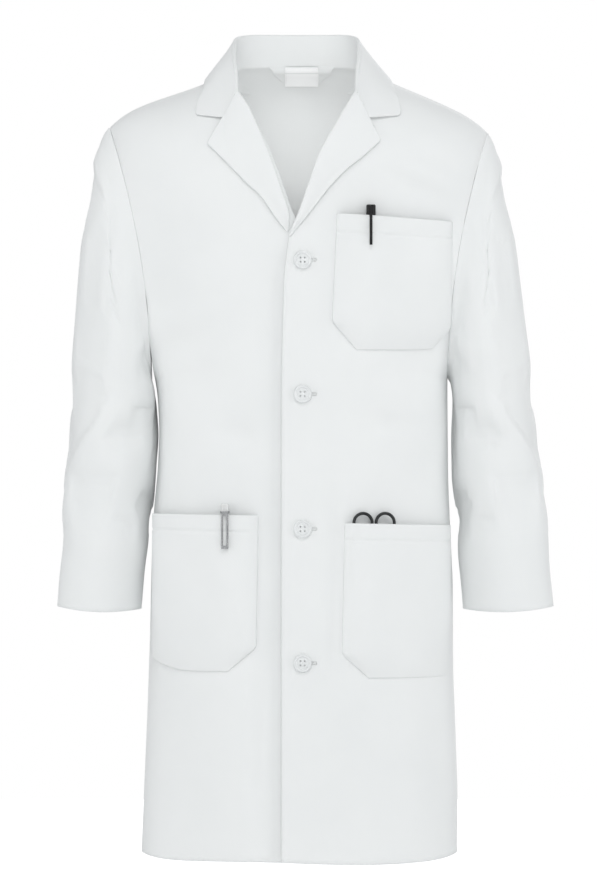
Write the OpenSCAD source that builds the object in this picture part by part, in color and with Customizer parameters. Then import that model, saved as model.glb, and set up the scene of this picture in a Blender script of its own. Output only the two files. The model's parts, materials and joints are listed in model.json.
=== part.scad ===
// Lab coat, buttoned, held up at the neck and shoulders.
// Origin: middle of the back neck seam. The front faces -Y, +Z is up, +X is the wearer's left.
// The wearer's left front laps over the right one.

/* [Body] */
// Half width of the body at the underarm
chest_half = 181; // [176:1:188]
// Half width of the body at the hem
hem_half = 192; // [186:1:198]
// Depth of the hem below the back neck seam
hem_drop = 966; // [940:1:990]
// Half width across the shoulder seams
shoulder_half = 230; // [226:1:234]
// Half depth of the body at the top
body_half_depth = 110; // [106:1:114]
// Extra half depth at the hem
hem_flare = 8; // [4:1:12]
// Thickness of one cloth solid
cloth = 0.6; // [0.5:0.1:0.8]

/* [Armholes and sleeves] */
// Depth of the top of the armhole
arm_top = 78; // [76:1:80]
// Depth of the underarm point
arm_bottom = 377; // [370:1:384]
// Half depth of the armhole
arm_half_depth = 66; // [62:1:68]
// How far the armhole curves in towards the chest
arm_scoop = 12; // [8:1:14]
// Half depth of the sleeve at the cuff
cuff_half_depth = 48; // [44:1:54]
// Height of the turned-up cuff hem
cuff_hem = 18; // [14:1:24]

/* [Neck] */
// Half width of the neck opening
neck_half = 88; // [86:1:90]
// Half depth of the neck opening
neck_half_depth = 62; // [58:1:64]

/* [Fastening] */
// Diameter of a button
button_d = 22; // [18:0.5:23]
// Depths of the four buttons
button_drops = [235, 398, 562, 725];
// Where the button line is, to the wearer's left of the middle
button_x = 4; // [2:1:6]
// How far the left front laps past the middle
left_lap = 21; // [18:1:24]
// How far the right front runs under past the middle
right_lap = 28; // [26:1:30]

/* [Pocket contents] */
// Diameter of the black pen's cap
pen_cap_d = 11.5; // [10:0.5:12]
// Length of each pen
pen_length = 142; // [130:1:146]
// Outer diameter of a finger ring of the scissors
ring_d = 26.6; // [24:0.2:27]

/* [Hidden] */

white_cloth = [0.93, 0.94, 0.94];
shade_cloth = [0.86, 0.87, 0.87];
front = -1;
back = 1;
layer = 1.6; // from the middle of one cloth layer to the next
arm_mid = -(arm_top + arm_bottom) / 2;
arm_half = (arm_bottom - arm_top) / 2;
side_end = 89.7; // degrees round the body, just short of the side seam
edge_s = 0.01; // the seam rows start this far below the shoulder line
slope_from = 112; // the shoulder line slopes down from here outwards
slope_drop = 16; // and is this far down there
slope = 0.42;
tip_drop = 12; // how much more it drops towards the shoulder tip
crown_r = 130; // how round the body turns over the shoulder, at the middle
crown_fall = 60; // and how much less at the tip
lap_foot = 150; // where the left front has come down to the body surface
lap_run = 80; // over how much width it comes down

// ---- the body surface: half depth over (x, z) ----
function mix(a, b, f) = a + (b - a) * f;
function clamp01(f) = min(1, max(0, f));
function smooth(f) = let (c = clamp01(f)) c * c * (3 - 2 * c);
function arm_t(z) = (z - arm_mid) / arm_half;
function arm_open(z) = abs(arm_t(z)) < 1 ? sqrt(1 - pow(arm_t(z), 2)) : 0;
function skirt_x(z) =
  let (f = clamp01((-z - arm_bottom) / (hem_drop - arm_bottom)))
  mix(chest_half, hem_half, pow(f, 1.6));
function side_x(z) =
  z >= -arm_top ? shoulder_half
  : z <= -arm_bottom ? skirt_x(z)
  : mix(chest_half, shoulder_half, (arm_t(z) + 1) / 2) - arm_scoop * pow(arm_open(z), 2);
function shoulder_z(x) =
  let (run = abs(x) - slope_from, f = run / (shoulder_half - slope_from))
  min(0, -slope_drop - slope * run - tip_drop * pow(max(0, f), 6));
function neck_depth(x) = abs(x) < neck_half ? neck_half_depth * sqrt(1 - pow(x / neck_half, 2)) : 0;
function full_depth(z) = body_half_depth + hem_flare * (-z / hem_drop);
function depth(x, z) =
  let (
    w = arm_open(z),
    h = arm_half_depth * w,
    t = min(1, abs(x) / side_x(z)),
    shape = mix(pow(1 - pow(t, 2.4), 1 / 2.4), 1 - pow(t, 3), w),
    full = h + (full_depth(z) - h) * shape,
    s = max(0, shoulder_z(x) - z),
    r = crown_r - crown_fall * abs(x) / shoulder_half,
    q = s >= r ? 1 : sqrt(1 - pow(1 - s / r, 2))
  )
  neck_depth(x) + (full - neck_depth(x)) * q;

function unit(v) = v / max(1e-9, norm(v));
function normal(x, z, side) =
  let (e = 0.5)
  unit([
    -(depth(x + e, z) - depth(x - e, z)) / (2 * e),
    side,
    -(depth(x, z + e) - depth(x, z - e)) / (2 * e)
  ]);
function on_body(x, z, side, off) = [x, side * depth(x, z), z] + off * normal(x, z, side);

// ---- thin cloth solids from grids of points ----
function at(g, i, j) = g[min(len(g) - 1, max(0, i))][min(len(g[0]) - 1, max(0, j))];
function grid_normal(g, i, j) =
  unit(cross(at(g, i, j + 1) - at(g, i, j - 1), at(g, i + 1, j) - at(g, i - 1, j)));
function moved(g, d) =
  [for (i = [0:len(g) - 1]) for (j = [0:len(g[0]) - 1]) g[i][j] + d * grid_normal(g, i, j)];
function quad(a, b, c, d) = [[a, b, c], [a, c, d]];

// An open sheet: rows of points, made thick along its normals.
module sheet(g, t = cloth) {
  rows = len(g);
  cols = len(g[0]);
  n = rows * cols;
  faces = [
    for (i = [0:rows - 2]) for (j = [0:cols - 2])
      let (a = i * cols + j, b = a + 1, d = a + cols, c = d + 1)
      each concat(quad(a, d, c, b), quad(n + a, n + b, n + c, n + d)),
    for (i = [0:rows - 2])
      let (a = i * cols, d = a + cols, b = a + cols - 1, c = d + cols - 1)
      each concat(quad(d, a, n + a, n + d), quad(b, c, n + c, n + b)),
    for (j = [0:cols - 2])
      let (a = j, b = j + 1, d = (rows - 1) * cols + j, c = d + 1)
      each concat(quad(a, b, n + b, n + a), quad(c, d, n + d, n + c))
  ];
  polyhedron(concat(moved(g, t / 2), moved(g, -t / 2)), faces, convexity = 6);
}

// A tube: rings of points that close round, made thick from their middle line.
module tube(g, t = cloth) {
  rows = len(g);
  cols = len(g[0]);
  n = rows * cols;
  ring_normal = function (i, j)
    unit(cross(g[i][(j + 1) % cols] - g[i][(j + cols - 1) % cols], at(g, i + 1, j) - at(g, i - 1, j)));
  out = [for (i = [0:rows - 1]) for (j = [0:cols - 1]) g[i][j] + ring_normal(i, j) * t / 2];
  inn = [for (i = [0:rows - 1]) for (j = [0:cols - 1]) g[i][j] - ring_normal(i, j) * t / 2];
  faces = [
    for (i = [0:rows - 2]) for (j = [0:cols - 1])
      let (k = (j + 1) % cols, a = i * cols + j, b = i * cols + k, d = a + cols, c = b + cols)
      each concat(quad(a, d, c, b), quad(n + a, n + b, n + c, n + d)),
    for (j = [0:cols - 1])
      let (k = (j + 1) % cols, d = (rows - 1) * cols + j, c = (rows - 1) * cols + k)
      each concat(quad(j, k, n + k, n + j), quad(c, d, n + d, n + c))
  ];
  polyhedron(concat(out, inn), faces, convexity = 6);
}

// A smooth curve through points, at 0 to 1 along them.
function through(p, u) =
  let (
    n = len(p) - 1, i = min(n - 1, floor(u * n)), f = u * n - i,
    a = p[max(0, i - 1)], b = p[i], c = p[i + 1], d = p[min(n, i + 2)]
  )
  b + 0.5 * f * (c - a + f * (2 * a - 5 * b + 4 * c - d + f * (3 * (b - c) + d - a)));

// ---- fronts ----
// Inner edge of each front, as [z, x from the middle towards its own side].
left_edge = [[-6, 88], [-18, 84], [-32, 76], [-62, 50], [-102, 26], [-130, 15.5], [-161, 5],
  [-183, -3], [-205, -12], [-256, -18], [-325, -20], [-400, -left_lap], [-1000, -left_lap]];
right_edge = [[-6, 88], [-18, 84], [-32, 76], [-50, 62], [-92, 40], [-121, 28], [-150, 18],
  [-176, 9], [-205, -6], [-245, -22], [-270, -right_lap], [-1000, -right_lap]];
// Where each row of cloth starts at the inner edge and ends at the armhole or side.
row_z = [[-5.9, -77.5], [-8, -80], [-13, -86], [-20, -95], [-32, -108], [-48, -124], [-66, -142],
  [-90, -162], [-121, -184], [-150, -206], [-178, -228], [-205, -250], [-235, -275], [-270, -302],
  [-310, -330], [-350, -357], [-395, -385], [-440, -430], [-480, -475], [-520, -520], [-560, -560],
  [-600, -600], [-640, -640], [-700, -700], [-733, -733], [-734, -735], [-780, -780], [-830, -830],
  [-880, -880], [-925, -925], [-hem_drop, -hem_drop]];
shoulder_rows = 9; // the rows that still follow the slope of the shoulder
corner_top = -735;
corner_reach = 132; // how far the front corner runs along the hem
corner_gap = 3.5; // between the front and its corner, so that the corner can swing

function corner_x(z) = -left_lap + corner_reach * (corner_top - z) / (corner_top + hem_drop);
// The left front stands clear of the right one where they lap, and comes down to it at the side.
function left_off(x) = 2 * layer * smooth((lap_foot - x) / lap_run);
function front_off(x, own) = own > 0 ? left_off(x) : 0;

function body_row(own, side, x0, z0, z1, k, cols, off, end = side_end) =
  let (
    x1 = side_x(z1), a0 = asin(x0 / x1),
    s0 = max(edge_s, shoulder_z(x0) - z0), s1 = max(edge_s, shoulder_z(x1) - z1)
  )
  [for (j = [0:cols])
    let (
      x = x1 * sin(mix(a0, end, j / cols)), f = (x - x0) / (x1 - x0),
      z = mix(mix(z0, z1, f), shoulder_z(x) - mix(s0, s1, f), k)
    )
    on_body(own * x, z, side, off + (side == front ? front_off(x, own) : 0))];

// Each front is cut along its edge; the left one leaves out its free corner.
left_inner = function (z)
  z < corner_top + 1 ? corner_x(min(z, corner_top)) + corner_gap : lookup(z, left_edge);
right_inner = function (z) lookup(z, right_edge);
function front_grid(own, inner) =
  [for (i = [0:len(row_z) - 1])
    let (z = row_z[i][0])
    body_row(own, front, inner(z), z, row_z[i][1], max(0, 1 - i / shoulder_rows), 12, 0)];

slit_w = 24;
slit_h = 2.6;
slit_from = 10; // how far the buttonhole reaches past the middle of its button
slit_depth = 8;
module buttonholes() {
  for (drop = button_drops)
    translate([button_x - slit_from, -full_depth(-drop) - slit_depth, -drop - slit_h / 2])
      cube([slit_w, slit_depth, slit_h]);
}
module left_front() {
  color(white_cloth)
    difference() {
      sheet(front_grid(1, left_inner));
      buttonholes();
    }
}
module right_front() {
  color(white_cloth) sheet(front_grid(-1, right_inner));
}

// The free corner of the left front, below the lowest button, which swings out at the hem.
corner_z = [-741, -760, -790, -820, -850, -880, -905, -930, -950, -hem_drop];
module left_front_corner() {
  color(white_cloth)
    sheet([for (z = corner_z)
      [for (j = [0:8])
        let (x = mix(-left_lap, corner_x(z), j / 8))
        on_body(x, z, front, left_off(x))]]);
}

// The facing, a second layer inside each front edge.
facing_z = [-262, -310, -360, -410, -460, -510, -560, -610, -660, -700, -730];
facing_reach = 62;
facing_in = 3; // how far inside the front's edge the facing starts
module facing(own, lap, off) {
  sheet([for (z = facing_z)
    [for (j = [0:6]) on_body(own * mix(facing_in - lap, facing_reach, j / 6), z, front, off)]]);
}
module left_facing() {
  color(shade_cloth)
    difference() {
      facing(1, left_lap - facing_in, layer);
      buttonholes();
    }
}
module right_facing() {
  color(shade_cloth) facing(-1, right_lap, -layer);
}

// ---- back ----
back_gap = 0.6; // from each back half to the middle
back_rise = 6; // the back's upper rows start this much above the front's
body_hem = 22; // height of the hem turned up at the bottom
function back_grid(own, z_rows) =
  [for (i = [0:len(z_rows) - 1])
    let (z0 = z_rows[i][0] + (i < shoulder_rows ? back_rise : 0))
    body_row(own, back, back_gap, z0, z_rows[i][1], max(0, 1 - i / shoulder_rows), 13, 0)];
module back_left() {
  color(white_cloth) sheet(back_grid(1, row_z));
}
module back_right() {
  color(white_cloth) sheet(back_grid(-1, row_z));
}
module back_hem() {
  color(shade_cloth)
    for (own = [-1, 1])
      sheet([for (z = [-hem_drop + body_hem, -hem_drop + body_hem / 2, -hem_drop + 1])
        body_row(own, back, back_gap, z, z, 0, 13, -layer, 86)]);
}

// Inside the back of the neck: a facing and the label sewn on it.
neck_patch_x = 3;
module neck_patch(half_top, half_bottom, z_top, z_bottom, off) {
  sheet([for (i = [0:3])
    let (z = mix(z_top, z_bottom, i / 3), half = mix(half_top, half_bottom, i / 3))
    [for (j = [0:6]) on_body(neck_patch_x + mix(-half, half, j / 6), z, back, off)]]);
}
module back_neck_facing() {
  color(white_cloth) neck_patch(44, 26, -3, -24, -2 * layer);
}
module neck_label() {
  color("white") neck_patch(21, 21, -5, -23, -3.2 * layer);
}

// ---- collar: neck seam, fold and outer edge, from the middle of the back to the front ----
seam_line = [[0, 61, 2], [34, 56, 2], [62, 41, 2], [79, 21, 2], [84, -4, 0], [83, -40, -5],
  [79, -66, -14], [72, -88, -26]];
fold_line = [[0, 54, 38], [36, 51, 38], [62, 39, 38], [76, 17, 35], [79, -10, 28], [78.5, -42, 13],
  [76, -69, -5], [72, -92, -25]];
fall_line = [[0, 80, 10], [40, 77, 10], [72, 60, 9], [93, 33, 10], [101, -2, 10], [102, -42, -7],
  [99, -76, -29], [86, -104, -56]];
outer_line = [[0, 99, -28], [46, 95, -28], [86, 72, -26], [109, 44, -22], [119, 4, -11],
  [122, -44, -25], [124, -71, -41], [122, -84, -54]];
collar_cols = 14;

function both_sides(line, u) = let (p = through(line, abs(u))) [u < 0 ? -p.x : p.x, p.y, p.z];
function collar_u(j) = (j - collar_cols) / collar_cols;
function bend(a, b, c, f) =
  let (m = 0.45)
  a * (f - m) * (f - 1) / m + b * f * (f - 1) / (m * (m - 1)) + c * f * (f - m) / (1 - m);
module collar_stand() {
  color(shade_cloth)
    sheet([for (i = [0:3])
      [for (j = [0:2 * collar_cols])
        mix(both_sides(seam_line, collar_u(j)), both_sides(fold_line, collar_u(j)), i / 3.3)]]);
}
module collar_fall() {
  color(white_cloth)
    sheet([for (i = [0:6])
      [for (j = [0:2 * collar_cols])
        let (u = collar_u(j))
        bend(both_sides(fold_line, u), both_sides(fall_line, u), both_sides(outer_line, u), i / 6)]]);
}

// ---- lapels: from the roll line to the outer edge, as [x, z] ----
left_roll = [[67, -33], [49, -62], [26, -102], [15.5, -130], [5, -161], [-3, -183], [-11, -204]];
left_lapel_edge = [[98, -88], [78, -107], [56, -125], [38, -143], [22, -163], [4, -187], [-9, -205]];
right_roll = [[69.5, -41], [59, -58], [42, -92], [30, -121], [20, -150], [16, -172], [15.5, -190]];
right_lapel_edge = [[111, -93], [92, -111], [72, -131], [54, -150], [38, -168], [27, -182], [18.5, -194]];
lapel_lift = 1.6; // clear of the front under it
lapel_crown = 1.2; // how much more the middle of a lapel stands off
module lapel(own, roll, edge, off) {
  sheet([for (i = [0:12])
    [for (j = [0:6])
      let (c = j / 6, p = mix(through(roll, i / 12), through(edge, i / 12), c))
      on_body(own * p.x, p.y, front, off + lapel_lift + lapel_crown * sin(180 * c))]]);
}
module left_lapel() {
  color(white_cloth) lapel(1, left_roll, left_lapel_edge, 2 * layer);
}
module right_lapel() {
  color(white_cloth) lapel(-1, right_roll, right_lapel_edge, 0);
}

// ---- sleeves: each ring runs from an outer point to an inner one ----
sleeve_gap = 1.6;
split_at = 0.52; // each sleeve bends here, in a slanted ring below the underarm
// [x, z, half depth] at the outer edge, and [x, z, how far forward] at the inner one.
sleeve_outer = [[0, [230 + sleeve_gap, -78, 66]], [0.06, [240, -92, 66]], [0.12, [246.5, -114, 67]],
  [0.2, [253, -150, 68]], [0.3, [260, -205, 68]], [0.42, [268, -275, 67]], [0.54, [277, -355, 64]],
  [0.62, [283.5, -418, 61]], [0.75, [292, -497, 57]], [0.88, [302, -578, 52]],
  [1, [310, -657, cuff_half_depth]]];
sleeve_inner = [[0, [chest_half + sleeve_gap, -377, 0]], [0.06, [183.4, -378.5, 0]],
  [0.12, [184, -380, 0]], [0.2, [184.6, -383, 0]], [0.3, [185.4, -387, 0]], [0.42, [186.5, -395, 0]],
  [0.54, [187.6, -407, 0]], [0.62, [188.5, -419, 0]], [0.75, [190, -498, 2]], [0.88, [195, -580, 6]],
  [1, [201, -660, 10]]];
function along(table, v, i = 0) =
  i >= len(table) - 2 || v <= table[i + 1][0]
  ? mix(table[i][1], table[i + 1][1], (v - table[i][0]) / (table[i + 1][0] - table[i][0]))
  : along(table, v, i + 1);
function armhole(a) =
  let (z = arm_mid + arm_half * cos(a), x = side_x(z))
  [x + sleeve_gap, (sin(a) < 0 ? 1 : -1) * depth(x - 0.01, z), z];
function sleeve_ring(own, v, shrink = 0) =
  let (o = along(sleeve_outer, v), i = along(sleeve_inner, v), w = smooth(v / 0.14))
  [for (a = [0:15:345])
    let (
      f = (1 - cos(a)) / 2,
      p = [
        mix(o.x - shrink, i.x + shrink, f) - arm_scoop * pow(max(0, 1 - v / 0.3), 2) * pow(sin(a), 2),
        -(o.z - shrink) * sin(a) - i.z,
        mix(o.y, i.y, f)
      ],
      m = mix(armhole(a), p, w)
    )
    [own * m.x, m.y, m.z]];
module sleeve(own, from, to, steps, shrink = 0) {
  rings = [for (k = [0:steps]) sleeve_ring(own, mix(from, to, k / steps), shrink)];
  if (own > 0) tube([for (r = rings) [for (j = [len(r) - 1:-1:0]) r[j]]]);
  else tube(rings);
}
split_gap = 0.003;
module left_sleeve_upper() {
  color(white_cloth) sleeve(1, 0, split_at - split_gap, 11);
}
module right_sleeve_upper() {
  color(white_cloth) sleeve(-1, 0, split_at - split_gap, 11);
}
module left_sleeve_lower() {
  color(white_cloth) sleeve(1, split_at + split_gap, 1, 8);
}
module right_sleeve_lower() {
  color(white_cloth) sleeve(-1, split_at + split_gap, 1, 8);
}
sleeve_length = 640;
cuff_share = cuff_hem / sleeve_length;
hem_inset = 1.4;
module left_cuff_hem() {
  color(shade_cloth) sleeve(1, 1 - cuff_share, 0.999, 1, hem_inset);
}
module right_cuff_hem() {
  color(shade_cloth) sleeve(-1, 1 - cuff_share, 0.999, 1, hem_inset);
}

// ---- pockets: sewn flat round three sides and open at the top ----
seam_lift = 1.4; // where a pocket is sewn down
pocket_cols = 14;
function chest_inner(f) = mix(46, 40, clamp01(f / 0.75)) + 29 * pow(clamp01((f - 0.75) / 0.25), 1.3);
function chest_outer(f) = mix(186, 184, clamp01(f / 0.8)) - 20 * pow(clamp01((f - 0.8) / 0.2), 1.3);
function hip_inner(f, top, low) = mix(top, low, clamp01(f / 0.8)) + 32 * pow(clamp01((f - 0.8) / 0.2), 1.2);

// Each pocket: its side; its inner and outer edge as functions of how far down it is from 0 to 1;
// the heights of its mouth at the inner and the outer edge; the height of its bottom; how full it is;
// and how far down its hem reaches.
chest_cut = [1, function (f) chest_inner(f), function (f) chest_outer(f), -179, -188, -343, 16.5, 0.13];
left_hip_cut = [1, function (f) hip_inner(f, 55, 52), function (f) mix(179, 180, f), -554, -558, -743, 19,
  0.11];
right_hip_cut = [-1, function (f) hip_inner(f, 50, 53), function (f) mix(176, 177, f), -546, -544, -732, 14.5,
  0.11];

function bulge(c, f, most) = most * (1 - pow(abs(2 * c - 1), 8)) * (1 - pow(f, 8)) * (1 - 0.12 * f);
// Rows of a pocket from f0 to f1 down it, left off `skip` columns short of both its sides.
function pocket_grid(cut, f0, f1, rows, skip, out) =
  let (own = cut[0], x0 = cut[1], x1 = cut[2])
  [for (i = [0:rows])
    let (f = mix(f0, f1, i / rows))
    [for (j = [skip:pocket_cols - skip])
      let (
        c = j / pocket_cols,
        x = mix(x0(f), x1(f), c),
        z = mix(mix(cut[3], cut[4], c), cut[5], f),
        off = front_off(x, own) + seam_lift + bulge(c, f, cut[6]) + out
      )
      on_body(own * x, z, front, off)]];
module pocket(cut) {
  color(white_cloth) sheet(pocket_grid(cut, 0, 1, 10, 0, 0));
}
// The hem turned in behind a pocket's mouth.
module pocket_hem(cut) {
  color(shade_cloth) sheet(pocket_grid(cut, 0.01, cut[7], 2, 1, -layer));
}
module chest_pocket() {
  pocket(chest_cut);
}
module chest_pocket_hem() {
  pocket_hem(chest_cut);
}
module left_hip_pocket() {
  pocket(left_hip_cut);
}
module left_hip_pocket_hem() {
  pocket_hem(left_hip_cut);
}
module right_hip_pocket() {
  pocket(right_hip_cut);
}
module right_hip_pocket_hem() {
  pocket_hem(right_hip_cut);
}

// ---- buttons ----
button_lift = 2 * layer + 0.9; // the back of a button, from the body surface
button_h = 3;
hole_pitch = 2.6; // from the middle of the button to a hole, each way
hole_r = 1;
module at_button(drop) {
  translate([button_x, -full_depth(-drop) - button_lift, -drop])
    rotate([90, 0, 0])
      children();
}
module hole_places() {
  for (x = [-1, 1])
    for (y = [-1, 1])
      translate([x * hole_pitch, y * hole_pitch, 0])
        children();
}
module buttons() {
  color([0.95, 0.95, 0.94])
    for (drop = button_drops)
      at_button(drop)
        difference() {
          rotate_extrude($fn = 48)
            polygon([[0, 0], [button_d / 2 - 1.5, 0], [button_d / 2, 1.2], [button_d / 2, 2.2],
              [button_d / 2 - 0.8, button_h], [button_d / 2 - 2.6, button_h], [button_d / 2 - 3.8, 2.1],
              [0, 2.1]]);
          hole_places()
            translate([0, 0, -1])
              cylinder(r = hole_r, h = 2 * button_h, $fn = 24);
        }
}
// Four strands through the holes, gathered under the button into a shank that passes the buttonhole.
shank_r = 1;
strand_r = 0.5;
module button_threads() {
  color("white")
    for (drop = button_drops)
      at_button(drop) {
        translate([0, 0, -button_lift + cloth])
          cylinder(r = shank_r, h = button_lift - cloth - 0.1, $fn = 24);
        translate([0, 0, -0.4])
          cylinder(r = hole_pitch * sqrt(2) + strand_r, h = 0.35, $fn = 32);
        hole_places()
          translate([0, 0, -0.3])
            cylinder(r = strand_r, h = 2.9, $fn = 16);
        for (y = [-1, 1])
          translate([0, y * hole_pitch, 2.65])
            rotate([0, 90, 0])
              cylinder(r = strand_r, h = 2 * hole_pitch + 1, center = true, $fn = 16);
      }
}

// ---- what the pockets hold ----
black_pen_x = 87;
black_pen_y = -depth(black_pen_x, -230) - left_off(black_pen_x) - 7.2; // clear of the front
black_pen_top = -168;
cap_r = pen_cap_d / 2;
barrel_r = 4.6;
cap_h = 58;
cap_clip_w = 3.5;
cap_clip_out = 8.2; // how far the cap's clip stands off the cap
cap_clip_h = 46;
neck_r = 3.6; // the barrel's neck, inside the cap
module black_pen_barrel() {
  color([0.1, 0.1, 0.11])
    translate([black_pen_x, black_pen_y, black_pen_top])
      rotate_extrude($fn = 40)
        polygon([[0, -cap_h + 14], [neck_r, -cap_h + 14], [neck_r, -cap_h - 0.2], [barrel_r, -cap_h - 0.2],
          [barrel_r, -pen_length + 16], [3, -pen_length + 6], [1, -pen_length], [0, -pen_length]]);
}
module black_pen_cap() {
  color([0.05, 0.05, 0.05])
    translate([black_pen_x, black_pen_y, black_pen_top]) {
      difference() {
        rotate_extrude($fn = 40)
          polygon([[0, 0], [cap_r - 1, 0], [cap_r, -1], [cap_r, -cap_h], [0, -cap_h]]);
        translate([0, 0, -cap_h - 1]) cylinder(r = neck_r + 0.05, h = 15.5, $fn = 40);
      }
      translate([-cap_clip_w / 2, -cap_r - cap_clip_out, -5]) cube([cap_clip_w, cap_clip_out + 0.8, 3.5]);
      translate([-cap_clip_w / 2, -cap_r - cap_clip_out, -cap_clip_h - 3])
        cube([cap_clip_w, 1.6, cap_clip_h]);
    }
}
white_pen_x = -90.5;
white_pen_y = -depth(white_pen_x, -600) - 6.4; // clear of the front
white_pen_top = -531;
white_pen_r = 5;
clip_w = 8.5;
clip_h = 45.5;
clip_wire = 2.2; // width of each leg of the clip
module white_pen_barrel() {
  color([0.94, 0.94, 0.93])
    translate([white_pen_x, white_pen_y, white_pen_top])
      rotate_extrude($fn = 40)
        polygon([[0, 0], [white_pen_r - 1.5, 0], [white_pen_r, -1.5], [white_pen_r, -pen_length + 16],
          [2.6, -pen_length + 5], [1, -pen_length], [0, -pen_length]]);
}
module white_pen_clip() {
  color([0.75, 0.76, 0.78])
    translate([white_pen_x, white_pen_y, white_pen_top]) {
      difference() {
        translate([0, 0, -12]) cylinder(r = white_pen_r + 0.7, h = 2.5, $fn = 40);
        translate([0, 0, -13]) cylinder(r = white_pen_r + 0.03, h = 5, $fn = 40);
      }
      translate([-clip_w / 2, -white_pen_r - 8.6, -12]) cube([clip_w, 8.6, 2.5]);
      translate([0, -white_pen_r - 7, -12])
        rotate([90, 0, 0])
          linear_extrude(1.6)
            difference() {
              translate([-clip_w / 2, -43]) square([clip_w, clip_h]);
              translate([-clip_w / 2 + clip_wire, -39]) square([clip_w - 2 * clip_wire, 36]);
            }
    }
}

scissors_x = 89;
pivot_z = -612;
scissors_off = left_off(scissors_x) + 3;
scissors_turn = atan2(depth(scissors_x + 9, pivot_z) - depth(scissors_x - 9, pivot_z), 18);
blade_t = 1.8;
screw_r = 2.5;
ring_rise = 57.5; // from the pivot up to the middle of a ring
ring_out = 13.9; // and out to its side
ring_bar_r = 1.9;
// Local frame: X across, Y up the scissors, Z out of the cloth, origin at the pivot.
module at_scissors() {
  translate(on_body(scissors_x, pivot_z, front, scissors_off))
    rotate([90, 0, 0])
      rotate([0, -scissors_turn, 0])
        children();
}
module half_outline() {
  polygon([[-4.5, -4], [4.5, -4], [5, 4], [-3, 14], [-8, 32], [-10, ring_rise - 11],
    [-14, ring_rise - 11], [-13, 30], [-5, 4]]);
  polygon([[-4.5, 0], [5, 0], [4.8, -30], [1.2, -74], [-0.6, -76], [-3.6, -30]]);
}
module scissors_half(side, z) {
  translate([0, 0, z])
    difference() {
      linear_extrude(blade_t) scale([side, 1]) half_outline();
      translate([0, 0, -1]) cylinder(r = screw_r + 0.06, h = 5, $fn = 32);
      translate([-side * ring_out, ring_rise, -1]) cylinder(d = ring_d - 4, h = 5, $fn = 32);
    }
  translate([-side * ring_out, ring_rise, 0])
    rotate_extrude($fn = 48)
      translate([ring_d / 2 - ring_bar_r, blade_t])
        circle(r = ring_bar_r, $fn = 24);
}
module scissors_half_a() {
  color([0.2, 0.21, 0.21]) at_scissors() scissors_half(1, 0);
}
module scissors_half_b() {
  color([0.2, 0.21, 0.21]) at_scissors() scissors_half(-1, blade_t + 0.2);
}
module scissors_screw() {
  color([0.7, 0.7, 0.72])
    at_scissors() {
      translate([0, 0, -0.7]) cylinder(r = screw_r, h = 2 * blade_t + 1.6, $fn = 32);
      translate([0, 0, 2 * blade_t + 0.4]) cylinder(r = 4, h = 1, $fn = 32);
      translate([0, 0, -1.4]) cylinder(r = 3.6, h = 1.2, $fn = 32);
    }
}

left_front();
right_front();
left_front_corner();
left_facing();
right_facing();
back_left();
back_right();
back_neck_facing();
neck_label();
back_hem();
collar_stand();
collar_fall();
left_lapel();
right_lapel();
left_sleeve_upper();
left_sleeve_lower();
right_sleeve_upper();
right_sleeve_lower();
left_cuff_hem();
right_cuff_hem();
chest_pocket();
chest_pocket_hem();
left_hip_pocket();
left_hip_pocket_hem();
right_hip_pocket();
right_hip_pocket_hem();
buttons();
button_threads();
black_pen_barrel();
black_pen_cap();
white_pen_barrel();
white_pen_clip();
scissors_half_a();
scissors_half_b();
scissors_screw();
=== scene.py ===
"""Looks of the lab coat: cloth, seams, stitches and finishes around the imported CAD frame."""

import json
import math

import bpy
import numpy as np
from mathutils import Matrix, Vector


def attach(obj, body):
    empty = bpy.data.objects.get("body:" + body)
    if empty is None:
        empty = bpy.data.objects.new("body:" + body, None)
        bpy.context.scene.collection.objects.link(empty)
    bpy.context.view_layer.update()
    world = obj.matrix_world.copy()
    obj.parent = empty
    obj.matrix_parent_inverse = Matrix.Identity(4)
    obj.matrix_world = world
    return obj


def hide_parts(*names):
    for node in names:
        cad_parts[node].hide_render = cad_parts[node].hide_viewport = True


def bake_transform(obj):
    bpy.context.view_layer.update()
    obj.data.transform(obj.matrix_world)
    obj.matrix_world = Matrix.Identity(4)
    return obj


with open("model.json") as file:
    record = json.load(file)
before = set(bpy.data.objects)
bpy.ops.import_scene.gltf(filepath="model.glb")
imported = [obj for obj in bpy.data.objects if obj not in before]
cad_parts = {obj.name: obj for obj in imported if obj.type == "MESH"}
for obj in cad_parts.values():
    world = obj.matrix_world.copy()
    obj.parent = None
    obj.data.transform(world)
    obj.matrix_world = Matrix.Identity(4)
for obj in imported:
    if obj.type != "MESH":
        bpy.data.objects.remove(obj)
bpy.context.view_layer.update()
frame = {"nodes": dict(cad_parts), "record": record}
MM = 0.001

# ---------------------------------------------------------------- sizes, in millimetres as in the CAD
CHEST_HALF = 181
HEM_HALF = 192
HEM_DROP = 966
SHOULDER_HALF = 230
BODY_HALF_DEPTH = 110
HEM_FLARE = 8
ARM_TOP = 78
ARM_BOTTOM = 377
ARM_HALF_DEPTH = 66
ARM_SCOOP = 12
NECK_HALF = 88
NECK_HALF_DEPTH = 62
LEFT_LAP = 21
RIGHT_LAP = 28
BUTTON_DROPS = (235, 398, 562, 725)
BUTTON_X = 4
CORNER_TOP = -735
CORNER_REACH = 132
LAYER = 1.6
FRONT, BACK = -1, 1
SIDES = ((1, "left"), (-1, "right"))
ARM_MID = -(ARM_TOP + ARM_BOTTOM) / 2
ARM_HALF = (ARM_BOTTOM - ARM_TOP) / 2
# thickness of each kind of cloth piece
THICK = {"body": 1.2, "facing": 0.9, "hem": 0.7, "sleeve": 1.1, "cuff": 0.8, "lapel": 1.4, "collar": 1.5,
         "collar_middle": 1.44, "neck_facing": 0.8, "label": 0.5, "pocket": 1.2, "pocket_hem": 0.5}
STITCH_LIFT = 0.62  # how far stitches stand off the middle of the cloth


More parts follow.
